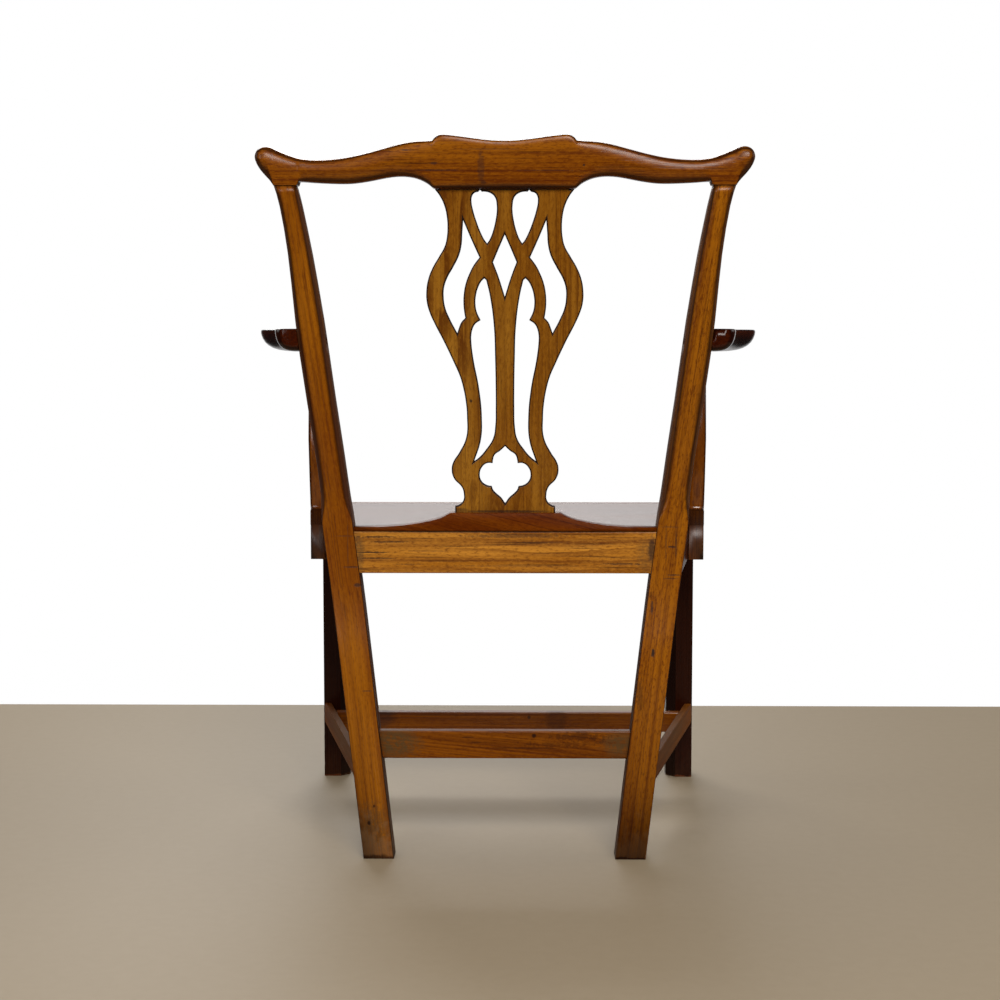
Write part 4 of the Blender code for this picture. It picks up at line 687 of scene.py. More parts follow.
            # Painted shade and dirt on the sawn sides, which face away from the light.
            starts, whole, least, more = 0.02, 0.45, 0.85, 0.3
            sawn = graph.node("ShaderNodeAttribute", {"attribute_name": SAWN_ATTRIBUTE})
            return Value(graph, sawn.outputs["Fac"]).rise(starts, whole) * (least + clouds * more)
        # Painted shade and dirt where a face turns from the three axes; painted shade alone on the cheeks.
        flat, rounded, least, more, cheek_shade = 0.94, 0.76, 0.60, 0.4, 0.62
        across, back, up = [part.size() for part in graph.axes(graph.facing)]
        darkening = across.most(back).most(up).rise(flat, rounded) * (least + clouds * more)
        if self.edges is EdgeDirtAndShade.CHEEKS:
            return darkening.most(self._cheeks(graph) * cheek_shade)
        return darkening

    def _rings(self, graph: Graph, wood: Value) -> Value:
        """Growth rings cut lengthwise, as dark lines with a soft start and a sharp end.

        Args:
            graph: The graph to build in.
            wood: Coordinates with X along the grain.

        Returns:
            The lines' strength.
        """
        heart_near, heart_far, shake = 0.031, 0.047, 0.0090
        soft_start, sharp_end = (0.30, 0.90), (1.0, 0.92)
        drift = graph.noise(wood, RING_DRIFT)
        _, near, far = graph.axes(wood)
        near = near + (drift - MIDDLE_OF_NOISE) * (2 * self.figure) + heart_near
        far = far + heart_far
        shaken = (graph.noise(wood, RING_SHAKE) - MIDDLE_OF_NOISE) * shake
        radius = (near * near + far * far).root() + shaken
        turn = (radius / self.ring_gap).fraction()
        return turn.rise(*soft_start) * turn.rise(*sharp_end) * drift.rise(*RING_DRIFT.limits)

    def _marked(self, graph: Graph, ragged: Value, greyed: bool) -> Value:
        """All the marks of one kind together.

        Args:
            graph: The graph to build in.
            ragged: The noise that breaks up their edges.
            greyed: Whether the greyed ones are wanted, or the dark ones.

        Returns:
            The strongest mark's strength at each place.
        """
        worn = ragged.rise(*RAGGED.limits)
        for mark in self.marks:
            if mark.greyed is greyed:
                worn = worn.most(mark.mask(graph, ragged))
        return worn

    def _scuffed(self, graph: Graph, colour: Value, streaks: Value) -> Value:
        """Scuffed, bleached and dirty wood at a foot.

        Args:
            graph: The graph to build in.
            colour: Colour so far.
            streaks: Noise along the grain.

        Returns:
            The colour with its scuffs.
        """
        bleach_sway, bleach_fade, bleach_per_metre = 0.16, 0.035, 20
        dirt_sway, dirt_top, dirt_depth, ground = 0.012, 0.28, 0.80, 0.002
        chips_top, chips_whole, chip_depth, chipped_streaks = 1.5, 0.5, 0.4, (0.4, 0.6)
        height = graph.axes(graph.place)[2]
        rough = graph.noise(graph.place, SCUFFS)
        sway = rough - MIDDLE_OF_NOISE
        bleached = (height + sway * bleach_sway).rise(self.foot_dirt + bleach_fade, self.foot_dirt)
        colour = graph.mix(bleached * (bleach_per_metre * self.foot_dirt), colour, BLEACHED)
        darkening = (height + sway * dirt_sway).rise(self.foot_dirt * dirt_top, ground)
        near_foot = height.rise(self.foot_dirt * chips_top, self.foot_dirt * chips_whole)
        chips = rough.rise(*SCUFFS.limits) * near_foot
        darkening = (darkening * dirt_depth).most(chips * chip_depth * streaks.rise(*chipped_streaks))
        return graph.mix(darkening, colour, self.tone.dark)


@dataclass(frozen=True)
class SteelFinish:
    """Old, dull screw steel.

    Attributes:
        colour: Its base colour.
        rust: Colour of its rust.
        roughness: Its mean roughness.
        uneven: How far the roughness changes.
    """

    colour: Colour = (0.16, 0.15, 0.14)
    rust: Colour = (0.09, 0.045, 0.02)
    roughness: float = 0.45
    uneven: float = 0.3

    def material(self, name: str) -> bpy.types.Material:
        """Build the finish's material.

        Args:
            name: Name of the material.

        Returns:
            The material.
        """
        graph = Graph(bpy.data.materials.new(name))
        spots = graph.noise(graph.place, RUST)
        colour = graph.mix(spots.rise(*RUST.limits), self.colour, self.rust)
        roughness = self.roughness + (spots - MIDDLE_OF_NOISE) * self.uneven
        return graph.finish(colour, roughness, graph.bump(spots, *STEEL_BUMP), 1.0)


@dataclass(frozen=True)
class EndGrainFinish:
    """The round end of a peg or plug: dark end grain.

    Attributes:
        seed: Number that moves the pattern.
        tone: The timber's colours.
    """

    seed: float
    tone: WoodTone = SHADED_FRUITWOOD

    def material(self, name: str) -> bpy.types.Material:
        """Build the finish's material.

        Args:
            name: Name of the material.

        Returns:
            The material.
        """
        graph = Graph(bpy.data.materials.new(name))
        pattern = Pattern((900, 900, 900), (0.35, 0.65), self.seed, detail=2, rough=0.6)
        grain = graph.noise(graph.place, pattern)
        colour = graph.mix(grain.rise(*pattern.limits), self.tone.body, self.tone.light)
        return graph.finish(colour, Sheen.SATIN.value, graph.bump(grain, *END_GRAIN_BUMP))


class Workbench:
    """Modelling by operators, on one piece at a time."""

    @staticmethod
    def clear() -> None:
        """Leave edit mode and deselect everything."""
        if bpy.context.object and bpy.context.object.mode != "OBJECT":
            bpy.ops.object.mode_set(mode="OBJECT")
        bpy.ops.object.select_all(action="DESELECT")

    @classmethod
    def take(cls, piece: bpy.types.Object) -> None:
        """Select one piece and make it active."""
        cls.clear()
        piece.select_set(True)
        bpy.context.view_layer.objects.active = piece

    @classmethod
    def edit(cls, piece: bpy.types.Object, all_of_it: bool = True) -> None:
        """Open a piece in edit mode, to work on its edges.

        Args:
            piece: The piece.
            all_of_it: Whether all of it starts selected.
        """
        cls.take(piece)
        bpy.ops.object.mode_set(mode="EDIT")
        bpy.ops.mesh.select_mode(type="EDGE")
        bpy.ops.mesh.select_all(action="SELECT" if all_of_it else "DESELECT")

    @classmethod
    def copy_of(cls, node: str, name: str) -> bpy.types.Object:
        """Copy a solid's mesh, and merge its loose triangles into one skin of quads.

        Args:
            node: The solid's node.
            name: Name of the new piece.

        Returns:
            The new piece.
        """
        merge_distance, flat_angle, corner_angle = 0.00001, math.radians(25), math.radians(60)
        cls.take(frame["nodes"][node])
        bpy.ops.object.duplicate()
        piece = bpy.context.active_object
        piece.name = name
        piece.data.name = name
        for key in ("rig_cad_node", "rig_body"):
            if key in piece:
                del piece[key]
        cls.edit(piece)
        bpy.ops.mesh.remove_doubles(threshold=merge_distance)
        bpy.ops.mesh.tris_convert_to_quads(face_threshold=flat_angle, shape_threshold=corner_angle)
        cls.clear()
        return piece

    @classmethod
    def soften(cls, piece: bpy.types.Object, angle: float) -> None:
        """Subdivide a piece once, smoothly, but keep its sharp edges.

        Args:
            piece: The piece.
            angle: Edges sharper than this, in degrees, stay.
        """
        cls.edit(piece, False)
        bpy.ops.mesh.edges_select_sharp(sharpness=math.radians(angle))
        bpy.ops.transform.edge_crease(value=1.0)
        cls.take(piece)
        subdivision = piece.modifiers.new("Softened", "SUBSURF")
        subdivision.levels = subdivision.render_levels = 1
        bpy.ops.object.modifier_apply(modifier=subdivision.name)

    @classmethod
    def smooth(cls, piece: bpy.types.Object, angle: float) -> None:
        """Shade a piece smooth up to an angle in degrees."""
        cls.take(piece)
        bpy.ops.object.shade_smooth_by_angle(angle=math.radians(angle))


class Dresser:
    """Gives pieces their material and body, and keeps count."""

    def __init__(self) -> None:
        """Start with no pieces."""
        self.count = 0

    @staticmethod
    def paint(piece: bpy.types.Object, material: bpy.types.Material) -> None:
        """Put one material on all of a piece."""
        piece.data.materials.clear()
        piece.data.materials.append(material)

    def replace(self, piece: bpy.types.Object, node: str, slot: str, material: bpy.types.Material) -> None:
        """Let a new piece stand for a solid of the chair's frame.

        Args:
            piece: The new piece.
            node: The solid that it replaces.
            slot: The record's material slot; not used.
            material: Its material.
        """
        self.paint(piece, material)
        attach(piece, FRAME_BODY)
        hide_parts(node)
        self.count += 1
        faces = len(piece.data.polygons)
        LOG.info("piece %s replaces %s on %s, %d faces", piece.name, node, FRAME_BODY, faces)

    def keep(self, node: str, material: bpy.types.Material) -> None:
        """Keep a solid and give it a material.

        Args:
            node: The solid's node.
            material: Its material.
        """
        self.paint(frame["nodes"][node], material)
        self.count += 1
        LOG.info("solid %s kept", node)


Knot = tuple[float, float, int]
CREST_SEAM = 0.0003


@dataclass
class Splat:
    """The pierced vase splat, cut from one board and bent to the chair's rake.

    An outline is a row of knots: a share of the half width, a share of the height between shoe and
    crest rail, and 1 for a corner.

    Attributes:
        dresser: What dresses it.
        half_width: Half of its greatest width.
        bottom: Height of the shoe's top.
        top: Height of its upper end, a seam below the crest rail's underside.
        tongue: Length of the tongues above and below.
        tongue_step: How much narrower the upper tongue is, on each side.
        thickness: The board's thickness.
        arris: Radius of its eased edges.
        curve_steps: Number of straight pieces between two knots.
        bend_levels: Number of heights at which it is bent.
        lean: How its grain leans.
        marks: Its worm hole, and the dirt along its ends.
        smooth_below: Degrees up to which it is shaded smooth.
        edge: Its outline on one side.
        side_opening: The outer opening above the waist.
        drop_opening: The drop under the crest rail.
        lower_opening: The long opening below.
        diamond: The opening on the middle line, one side of it.
        quatrefoil: The pierced flower at the foot, one side of it.
    """

    dresser: Dresser
    half_width: float = 0.1042
    bottom: float = field(default_factory=lambda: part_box("splat_shoe")[1].z)
    top: float = field(default_factory=lambda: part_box("crest_rail")[0].z - CREST_SEAM)
    tongue: float = 0.0115
    tongue_step: float = 0.006
    thickness: float = 0.010
    arris: float = 0.0022
    curve_steps: int = 8
    bend_levels: int = 12
    lean: Lean = Lean(upper_from=0.445, above=0.110, curve=0.140)
    marks: tuple[Mark, ...] = (
        Mark((0.0, 0.26, 0.8838), (0.110, 0.03, 0.0018), 0.75, 0.1),
        Mark((0.0453, 0.199, 0.6083), (0.0020, 0.03, 0.0022), 0.8),
        Mark((0.060, 0.18, 0.4600), (0.012, 0.03, 0.0040), 0.45, 0.6),
        Mark((0.0, 0.18, 0.4590), (0.070, 0.03, 0.0016), 0.7, 0.1))
    smooth_below: float = 20
    edge: tuple[Knot, ...] = (
        (0.648, 0.000, 1), (0.647, 0.020, 1), (0.592, 0.024, 0), (0.541, 0.038, 0), (0.534, 0.058, 0),
        (0.557, 0.079, 0), (0.662, 0.109, 0), (0.689, 0.140, 0), (0.663, 0.163, 0), (0.594, 0.189, 0),
        (0.500, 0.238, 0), (0.487, 0.304, 0), (0.501, 0.351, 0), (0.533, 0.395, 0), (0.577, 0.433, 0),
        (0.637, 0.467, 0), (0.778, 0.541, 0), (0.883, 0.591, 0), (0.953, 0.630, 0), (0.985, 0.660, 0),
        (0.989, 0.694, 0), (0.965, 0.729, 0), (0.908, 0.764, 0), (0.823, 0.799, 0), (0.751, 0.830, 0),
        (0.723, 0.858, 0), (0.714, 0.889, 0), (0.721, 0.917, 0), (0.747, 0.948, 0), (0.804, 0.979, 0),
        (0.867, 1.000, 1))
    side_opening: tuple[Knot, ...] = (
        (0.519, 0.908, 1), (0.419, 0.851, 0), (0.317, 0.796, 1), (0.389, 0.773, 0), (0.447, 0.746, 0),
        (0.491, 0.718, 0), (0.517, 0.686, 0), (0.522, 0.651, 0), (0.511, 0.626, 0), (0.501, 0.612, 1),
        (0.552, 0.598, 0), (0.580, 0.582, 0), (0.604, 0.565, 1), (0.698, 0.609, 0), (0.755, 0.644, 0),
        (0.773, 0.676, 0), (0.767, 0.704, 0), (0.730, 0.732, 0), (0.649, 0.767, 0), (0.576, 0.802, 0),
        (0.542, 0.834, 0), (0.531, 0.870, 0))
    drop_opening: tuple[Knot, ...] = (
        (0.306, 0.999, 1), (0.284, 0.993, 1), (0.256, 0.9935, 0), (0.170, 0.988, 0), (0.120, 0.976, 0),
        (0.099, 0.953, 0), (0.099, 0.933, 0), (0.112, 0.910, 0), (0.142, 0.879, 0), (0.186, 0.851, 0),
        (0.219, 0.8385, 1), (0.245, 0.846, 0), (0.301, 0.872, 0), (0.350, 0.903, 0), (0.395, 0.939, 0),
        (0.413, 0.963, 0), (0.407, 0.979, 0), (0.379, 0.989, 0), (0.328, 0.993, 1))
    lower_opening: tuple[Knot, ...] = (
        (0.259, 0.733, 1), (0.296, 0.724, 0), (0.339, 0.704, 0), (0.366, 0.679, 0), (0.372, 0.655, 0),
        (0.355, 0.630, 0), (0.307, 0.605, 1), (0.377, 0.593, 0), (0.410, 0.578, 0), (0.427, 0.558, 0),
        (0.427, 0.538, 0), (0.402, 0.485, 0), (0.333, 0.395, 0), (0.298, 0.304, 0), (0.311, 0.231, 0),
        (0.397, 0.163, 1), (0.329, 0.176, 0), (0.248, 0.199, 0), (0.155, 0.235, 0), (0.125, 0.276, 0),
        (0.119, 0.330, 0), (0.119, 0.395, 0), (0.125, 0.485, 0), (0.140, 0.587, 0), (0.188, 0.679, 0),
        (0.233, 0.727, 1))
    diamond: tuple[Knot, ...] = (
        (0.000, 0.865, 1), (0.074, 0.824, 0), (0.148, 0.782, 1), (0.079, 0.738, 0), (0.000, 0.677, 1))
    quatrefoil: tuple[Knot, ...] = (
        (0.000, 0.211, 1), (0.065, 0.196, 0), (0.132, 0.184, 0), (0.157, 0.166, 0), (0.161, 0.157, 1),
        (0.228, 0.157, 0), (0.292, 0.146, 0), (0.328, 0.122, 0), (0.303, 0.099, 0), (0.230, 0.086, 0),
        (0.173, 0.0835, 1), (0.157, 0.072, 0), (0.118, 0.061, 0), (0.053, 0.047, 0), (0.000, 0.028, 1))

    def build(self) -> bpy.types.Object:
        """Cut, bend and dress the splat.

        Returns:
            The finished splat.
        """
        outlines = [self._boundary(), self._whole(self.diamond), self._whole(self.quatrefoil)]
        for side in (1, -1):
            outlines += [self._placed(knots, side)
                         for knots in (self.side_opening, self.drop_opening, self.lower_opening)]
        piece = self._board(outlines)
        self._mark_sawn(piece)
        self._bend(piece)
        Workbench.smooth(piece, self.smooth_below)
        finish = WoodFinish(PALE_FRUITWOOD, Grain.UPRIGHT.value, Sheen.POLISHED, seed=4.3,
                            ring_gap=0.0052, ring_strength=0.85, figure=0.005, fleck=0.35, patch=0.60,
                            streaks=0.22, lines=0.50, grit=0.42, edges=EdgeDirtAndShade.SAWN, lean=self.lean,
                            marks=self.marks)
        self.dresser.replace(piece, "pierced_splat", "splat_wood", finish.material("splat_fruitwood"))
        return piece

    def _placed(self, knots: Sequence[Knot], side: int = 1) -> list[Knot]:
        """An outline's knots as X, Z and corner, on one side of the middle."""
        rise = self.top - self.bottom
        return [(x * self.half_width * side, self.bottom + z * rise, corner) for x, z, corner in knots]

    def _whole(self, knots: Sequence[Knot]) -> list[Knot]:
        """An outline that crosses the middle: one side, then its mirror image."""
        left = [knot for knot in reversed(self._placed(knots, -1)) if knot[0] != 0]
        return self._placed(knots) + left

    def _boundary(self) -> list[Knot]:
        """The outer outline, with its tongues above and below.

        Returns:
            Its knots as X, Z and corner.
        """
        edge = self._placed(self.edge)
        foot = edge[0][0]
        head = edge[-1][0] - self.tongue_step
        lower_tongue = [(foot, self.bottom - self.tongue, 1)]
        upper_tongue = [(head, self.top, 1), (head, self.top + self.tongue, 1)]
        right = lower_tongue + edge + upper_tongue
        return right + [(-x, z, corner) for x, z, corner in reversed(right)]

    def _board(self, outlines: Sequence[Sequence[Knot]]) -> bpy.types.Object:
        """Cut the board as one flat curve with holes, standing upright at Y zero.

        Args:
            outlines: The outer outline, then the openings.

        Returns:
            The board as a mesh.
        """
        merge_distance = 0.00002
        Workbench.clear()
        bpy.ops.curve.primitive_bezier_circle_add(radius=self.half_width)
        board = bpy.context.active_object
        board.name = "vase_splat"
        curve = board.data
        curve.dimensions = "2D"
        curve.fill_mode = "BOTH"
        curve.resolution_u = self.curve_steps
        curve.extrude = self.thickness / 2 - self.arris
        curve.bevel_depth = self.arris
        curve.bevel_resolution = 1
        curve.offset = -self.arris
        curve.splines.clear()
        for outline in outlines:
            spline = curve.splines.new("BEZIER")
            spline.bezier_points.add(len(outline) - 1)
            spline.use_cyclic_u = True
            for point, (x, z, corner) in zip(spline.bezier_points, outline):
                point.co = (x, z, 0)
                point.handle_left_type = point.handle_right_type = "VECTOR" if corner else "AUTO"
        bpy.ops.object.convert(target="MESH")
        board = bpy.context.active_object
        bpy.ops.transform.rotate(value=math.pi / 2, orient_axis="X", center_override=(0, 0, 0))
        bpy.ops.object.transform_apply(location=True, rotation=True, scale=True)
        if max(vertex.co.z for vertex in board.data.vertices) < 0:
            # With no window the operator turns the other way, and the board hangs upside down.
            board.data.transform(Matrix.Rotation(math.pi, 4, "X"))
        Workbench.edit(board)
        bpy.ops.mesh.remove_doubles(threshold=merge_distance)
        Workbench.clear()
        return board

    def _mark_sawn(self, board: bpy.types.Object) -> None:
        """Mark every point that is not on one of the board's two flat faces as sawn.

        Args:
            board: The upright flat board, standing at Y zero.
        """
        sawn = board.data.attributes.new(SAWN_ATTRIBUTE, "FLOAT", "POINT")
        for vertex in board.data.vertices:
            on_face = abs(vertex.co.y) > (self.thickness - self.arris / 4) / 2
            sawn.data[vertex.index].value = 0.0 if on_face else 1.0

    def _rake(self) -> tuple[np.ndarray, np.ndarray]:
        """Where the solid splat stands.

        Returns:
            Heights from its foot to its head, and its middle Y at each.
        """
        level_reach = 0.0004
        spots = np.array([vertex.co for vertex in frame["nodes"]["pierced_splat"].data.vertices])
        heights = np.unique(spots[:, 2].round(4))
        middles = []
        for height in heights:
            depths = spots[abs(spots[:, 2] - height) < level_reach, 1]
            middles.append((depths.min() + depths.max()) / 2)
        levels = np.linspace(heights[0], heights[-1], self.bend_levels + 1)
        return levels, np.interp(levels, heights, middles)

    def _bend(self, board: bpy.types.Object) -> None:
        """Cut the board at each level and set it on the rake.

        Args:
            board: The upright board.
        """
        levels, middles = self._rake()
        Workbench.edit(board)
        for level in levels[1:-1]:
            bpy.ops.mesh.select_all(action="SELECT")
            bpy.ops.mesh.bisect(plane_co=(0, 0, level), plane_no=(0, 0, 1))
        Workbench.clear()
        for vertex in board.data.vertices:
            vertex.co.y += float(np.interp(vertex.co.z, levels, middles))


@dataclass
class Back:
    """Crest rail, splat and shoe.

    Attributes:
        dresser: What dresses them.
        crest_crease: Degrees above which the crest rail's edges stay sharp.
        crest_smooth_below: Degrees up to which it is shaded smooth.
        shoe_grain: Direction of the shoe's grain.
        shoe_smooth_below: Degrees up to which the shoe is shaded smooth.
        crest_marks: The crest rail's smudge, cracks and worm holes, and a painted shade strip along its
            lower edge under the tablet.
    """

    dresser: Dresser
    crest_crease: float = 42
    crest_smooth_below: float = 45
    shoe_grain: Triple = (1.0, 0.0, 0.25)
    shoe_smooth_below: float = 40
    crest_marks: tuple[Mark, ...] = (
        Mark((0.0303, 0.27, 0.9080), (0.0048, 0.05, 0.026), 0.40, 0.7),
        Mark((0.0276, 0.26, 0.8905), (0.0040, 0.05, 0.0045), 0.60, 0.5),
        Mark((0.0903, 0.27, 0.9156), (0.0050, 0.03, 0.0018), 0.60, 0.5),
        Mark((0.0943, 0.27, 0.9069), (0.0420, 0.03, 0.0009), 0.60, 0.9),
        Mark((-0.1019, 0.27, 0.9129), (0.0016, 0.03, 0.0018), 0.8),
        Mark((-0.1723, 0.27, 0.9269), (0.0022, 0.03, 0.0014), 0.7),
        Mark((0.1274, 0.27, 0.9320), (0.0070, 0.03, 0.0012), 0.55, 0.6),
        # Painted shade: a dark strip along the lower edge under the tablet, where a shaded chamfer would
        # be.
        Mark((0.0, 0.27, 0.8860), (0.106, 0.03, 0.0050), 0.62, 0.1),
        Mark((-0.055, 0.27, 0.9065), (0.040, 0.03, 0.0008), 0.45, 0.9),
        Mark((0.020, 0.27, 0.9330), (0.055, 0.03, 0.0008), 0.40, 0.9))

    def build(self) -> None:
        """Build the back's pieces."""
        self._crest()
        Splat(self.dresser).build()
        self._shoe()

    def _crest(self) -> None:
        """The serpentine crest rail with its rounded ears."""
        piece = Workbench.copy_of("crest_rail", "serpentine_crest")
        Workbench.soften(piece, self.crest_crease)
        Workbench.smooth(piece, self.crest_smooth_below)
        finish = WoodFinish(FRUITWOOD, Grain.ACROSS.value, Sheen.POLISHED, seed=1.2, ring_gap=0.0075,
                            ring_strength=0.50, figure=0.010, fleck=0.5, patch=0.6, streaks=0.60,
                            lines=0.70, grit=0.55, edges=EdgeDirtAndShade.CHEEKS, marks=self.crest_marks)
        self.dresser.replace(piece, "crest_rail", "frame_wood", finish.material("crest_fruitwood"))

    def _shoe(self) -> None:
        """The shoe that the splat stands in."""
        piece = Workbench.copy_of("splat_shoe", "moulded_shoe")
        Workbench.smooth(piece, self.shoe_smooth_below)
        finish = WoodFinish(SHOE_FRUITWOOD, self.shoe_grain, Sheen.SATIN, seed=7.7, ring_strength=0.35,
                            gloss=0.04, edges=EdgeDirtAndShade.NONE)
        self.dresser.replace(piece, "splat_shoe", "shoe_wood", finish.material("shoe_fruitwood"))


@dataclass
class RearLegs:
    """The two rear legs, each in one piece with its stile.

    Attributes:
        dresser: What dresses them.
        splay: Change of X with height.
        stile_from: Height above which the stile rakes.
        stile_rake: Change of Y with height there.
        leg_from: Height below which the leg rakes.
        leg_rake: Change of Y with depth there.
        smooth_below: Degrees up to which they are shaded smooth.
        crackle: Strength of each leg's crackle.
        foot_dirt: Height up to which each foot is scuffed.
        marks: Each leg's cracks, knots, holes and worn wood.
    """

    dresser: Dresser
    splay: float = 0.130
    stile_from: float = 0.47
    stile_rake: float = 0.180
    leg_from: float = 0.33
    leg_rake: float = 0.179
    smooth_below: float = 40
    crackle: dict[str, float] = field(default_factory=lambda: {"left": 0.32, "right": 0.60})
    foot_dirt: dict[str, float] = field(default_factory=lambda: {"left": 0.022, "right": 0.010})
    marks: dict[str, tuple[Mark, ...]] = field(default_factory=lambda: {
        "left": (
            Mark((0.2156, 0.19, 0.4261), (0.014, 0.03, 0.0008), 0.5, 0.5),
            Mark((0.2070, 0.19, 0.3841), (0.013, 0.03, 0.0011), 0.7, 0.4),
            Mark((0.1990, 0.19, 0.3597), (0.0055, 0.03, 0.0030), 0.7, 0.3),
            Mark((0.2120, 0.19, 0.4120), (0.0008, 0.03, 0.034), 0.45, 0.6),
            Mark((0.1853, 0.21, 0.2190), (0.008, 0.03, 0.0008), 0.7, 0.2),
            Mark((0.1746, 0.24, 0.0684), (0.0018, 0.03, 0.0022), 0.8, 0.4),
            Mark((0.1811, 0.24, 0.0463), (0.0026, 0.03, 0.0032), 0.9, 0.4),
            Mark((0.1760, 0.26, 0.0400), (0.024, 0.05, 0.040), 0.75, 1.2, True)),
        "right": (
            Mark((-0.2299, 0.19, 0.4172), (0.0012, 0.03, 0.024), 0.6, 1.1),
            Mark((-0.2164, 0.19, 0.4172), (0.0010, 0.03, 0.025), 0.5, 1.1),
            Mark((-0.2240, 0.19, 0.4120), (0.0060, 0.03, 0.0014), 0.8, 0.8),
            Mark((-0.2203, 0.19, 0.4389), (0.014, 0.03, 0.0008), 0.5, 0.7),
            Mark((-0.2275, 0.19, 0.3739), (0.010, 0.03, 0.0010), 0.8, 0.5),
            Mark((-0.2240, 0.19, 0.3690), (0.012, 0.03, 0.0008), 0.6, 0.6),
            Mark((-0.1980, 0.19, 0.3295), (0.0014, 0.03, 0.010), 0.8, 0.7),
            Mark((-0.1991, 0.20, 0.2699), (0.0026, 0.03, 0.0060), 0.9, 0.6),
            Mark((-0.1810, 0.21, 0.2160), (0.0050, 0.03, 0.024), 0.35, 1.3))})

    def build(self) -> None:
        """Build both legs."""
        for side, sign in SIDES.items():
            piece = Workbench.copy_of("rear_leg_" + side, "raked_leg_" + side)
            Workbench.smooth(piece, self.smooth_below)
            lean = Lean(sign * self.splay, self.stile_from, self.stile_rake,
                        lower_from=self.leg_from, below=self.leg_rake)
            finish = WoodFinish(FRUITWOOD, Grain.UPRIGHT.value, Sheen.POLISHED, seed=2.9 + sign,
                                ring_gap=0.0065, figure=0.010, fleck=0.40, patch=0.62, streaks=0.58,
                                lines=0.68, grit=self.crackle[side], edges=EdgeDirtAndShade.CHEEKS, lean=lean,
                                foot_dirt=self.foot_dirt[side], marks=self.marks[side])
            material = finish.material("leg_fruitwood_" + side)
            self.dresser.replace(piece, "rear_leg_" + side, "frame_wood", material)


@dataclass
class FrontLegs:
    """The two square front legs.

    Attributes:
        dresser: What dresses them.
        foot_dirt: Height up to which the feet are scuffed.
    """

    dresser: Dresser
    foot_dirt: float = 0.006

    def build(self) -> None:
        """Dress both legs."""
        for side, sign in SIDES.items():
            # Painted shade: the darkened tone stands partly for the shade these legs sit in under the seat.
            finish = WoodFinish(SHADED_FRUITWOOD, Grain.UPRIGHT.value, Sheen.POLISHED, seed=11.4 + sign,
                                gloss=0.12, foot_dirt=self.foot_dirt)
            self.dresser.keep("front_leg_" + side, finish.material("front_leg_fruitwood_" + side))


@dataclass
class Arms:
    """The flat, outswept arms on their swept supports.

    Attributes:
        dresser: What dresses them.
        outsweep: Change of X along an arm's grain.
        arm_crease: Degrees above which the arms' edges stay sharp.
        arm_smooth_below: Degrees up to which they are shaded smooth.
        support_smooth_below: Degrees up to which the supports are shaded smooth.
        lap_shade_centre: Middle of the painted shade on the left support's foot.
        lap_shade_reach: Half size of that painted shade.
    """

    dresser: Dresser
    outsweep: float = 0.12
    arm_crease: float = 50
    arm_smooth_below: float = 45
    support_smooth_below: float = 40
    lap_shade_centre: Triple = (0.291, -0.005, 0.386)
    lap_shade_reach: Triple = (0.060, 0.100, 0.064)

    def build(self) -> None:
        """Build both arms with their supports."""
        for side, sign in SIDES.items():
            self._arm(side, sign)
            self._support(side, sign)

    def _arm(self, side: str, sign: int) -> None:
        """One arm.

        Args:
            side: Which arm.
            sign: The side's sign on X.
        """
        piece = Workbench.copy_of("arm_" + side, "outswept_arm_" + side)
        Workbench.soften(piece, self.arm_crease)
        Workbench.smooth(piece, self.arm_smooth_below)
        grain = (sign * self.outsweep, -1.0, 0.0)
        # Painted shade: the darkened tone stands partly for the shade on the arms' undersides.
        finish = WoodFinish(SHADED_FRUITWOOD, grain, Sheen.BURNISHED, seed=20.0 + sign)
        material = finish.material("arm_fruitwood_" + side)
        self.dresser.replace(piece, "arm_" + side, "frame_wood", material)

    def _support(self, side: str, sign: int) -> None:
        """One arm support, with painted shade on its foot where it laps the side rail.

        Args:
            side: Which support.
            sign: The side's sign on X.
        """
        piece = Workbench.copy_of("arm_support_" + side, "swept_support_" + side)
        Workbench.smooth(piece, self.support_smooth_below)
        # Painted shade on the foot that laps the side rail.
        across, deep, height = self.lap_shade_centre
        lap_shade = Mark((sign * across, deep, height), self.lap_shade_reach, depth=0.80, ragged=0.02)
        finish = WoodFinish(REDDISH_FRUITWOOD, Grain.UPRIGHT.value, Sheen.BURNISHED, seed=24.0 + sign,
                            gloss=0.45, marks=(lap_shade,))
        material = finish.material("support_fruitwood_" + side)
        self.dresser.replace(piece, "arm_support_" + side, "frame_wood", material)


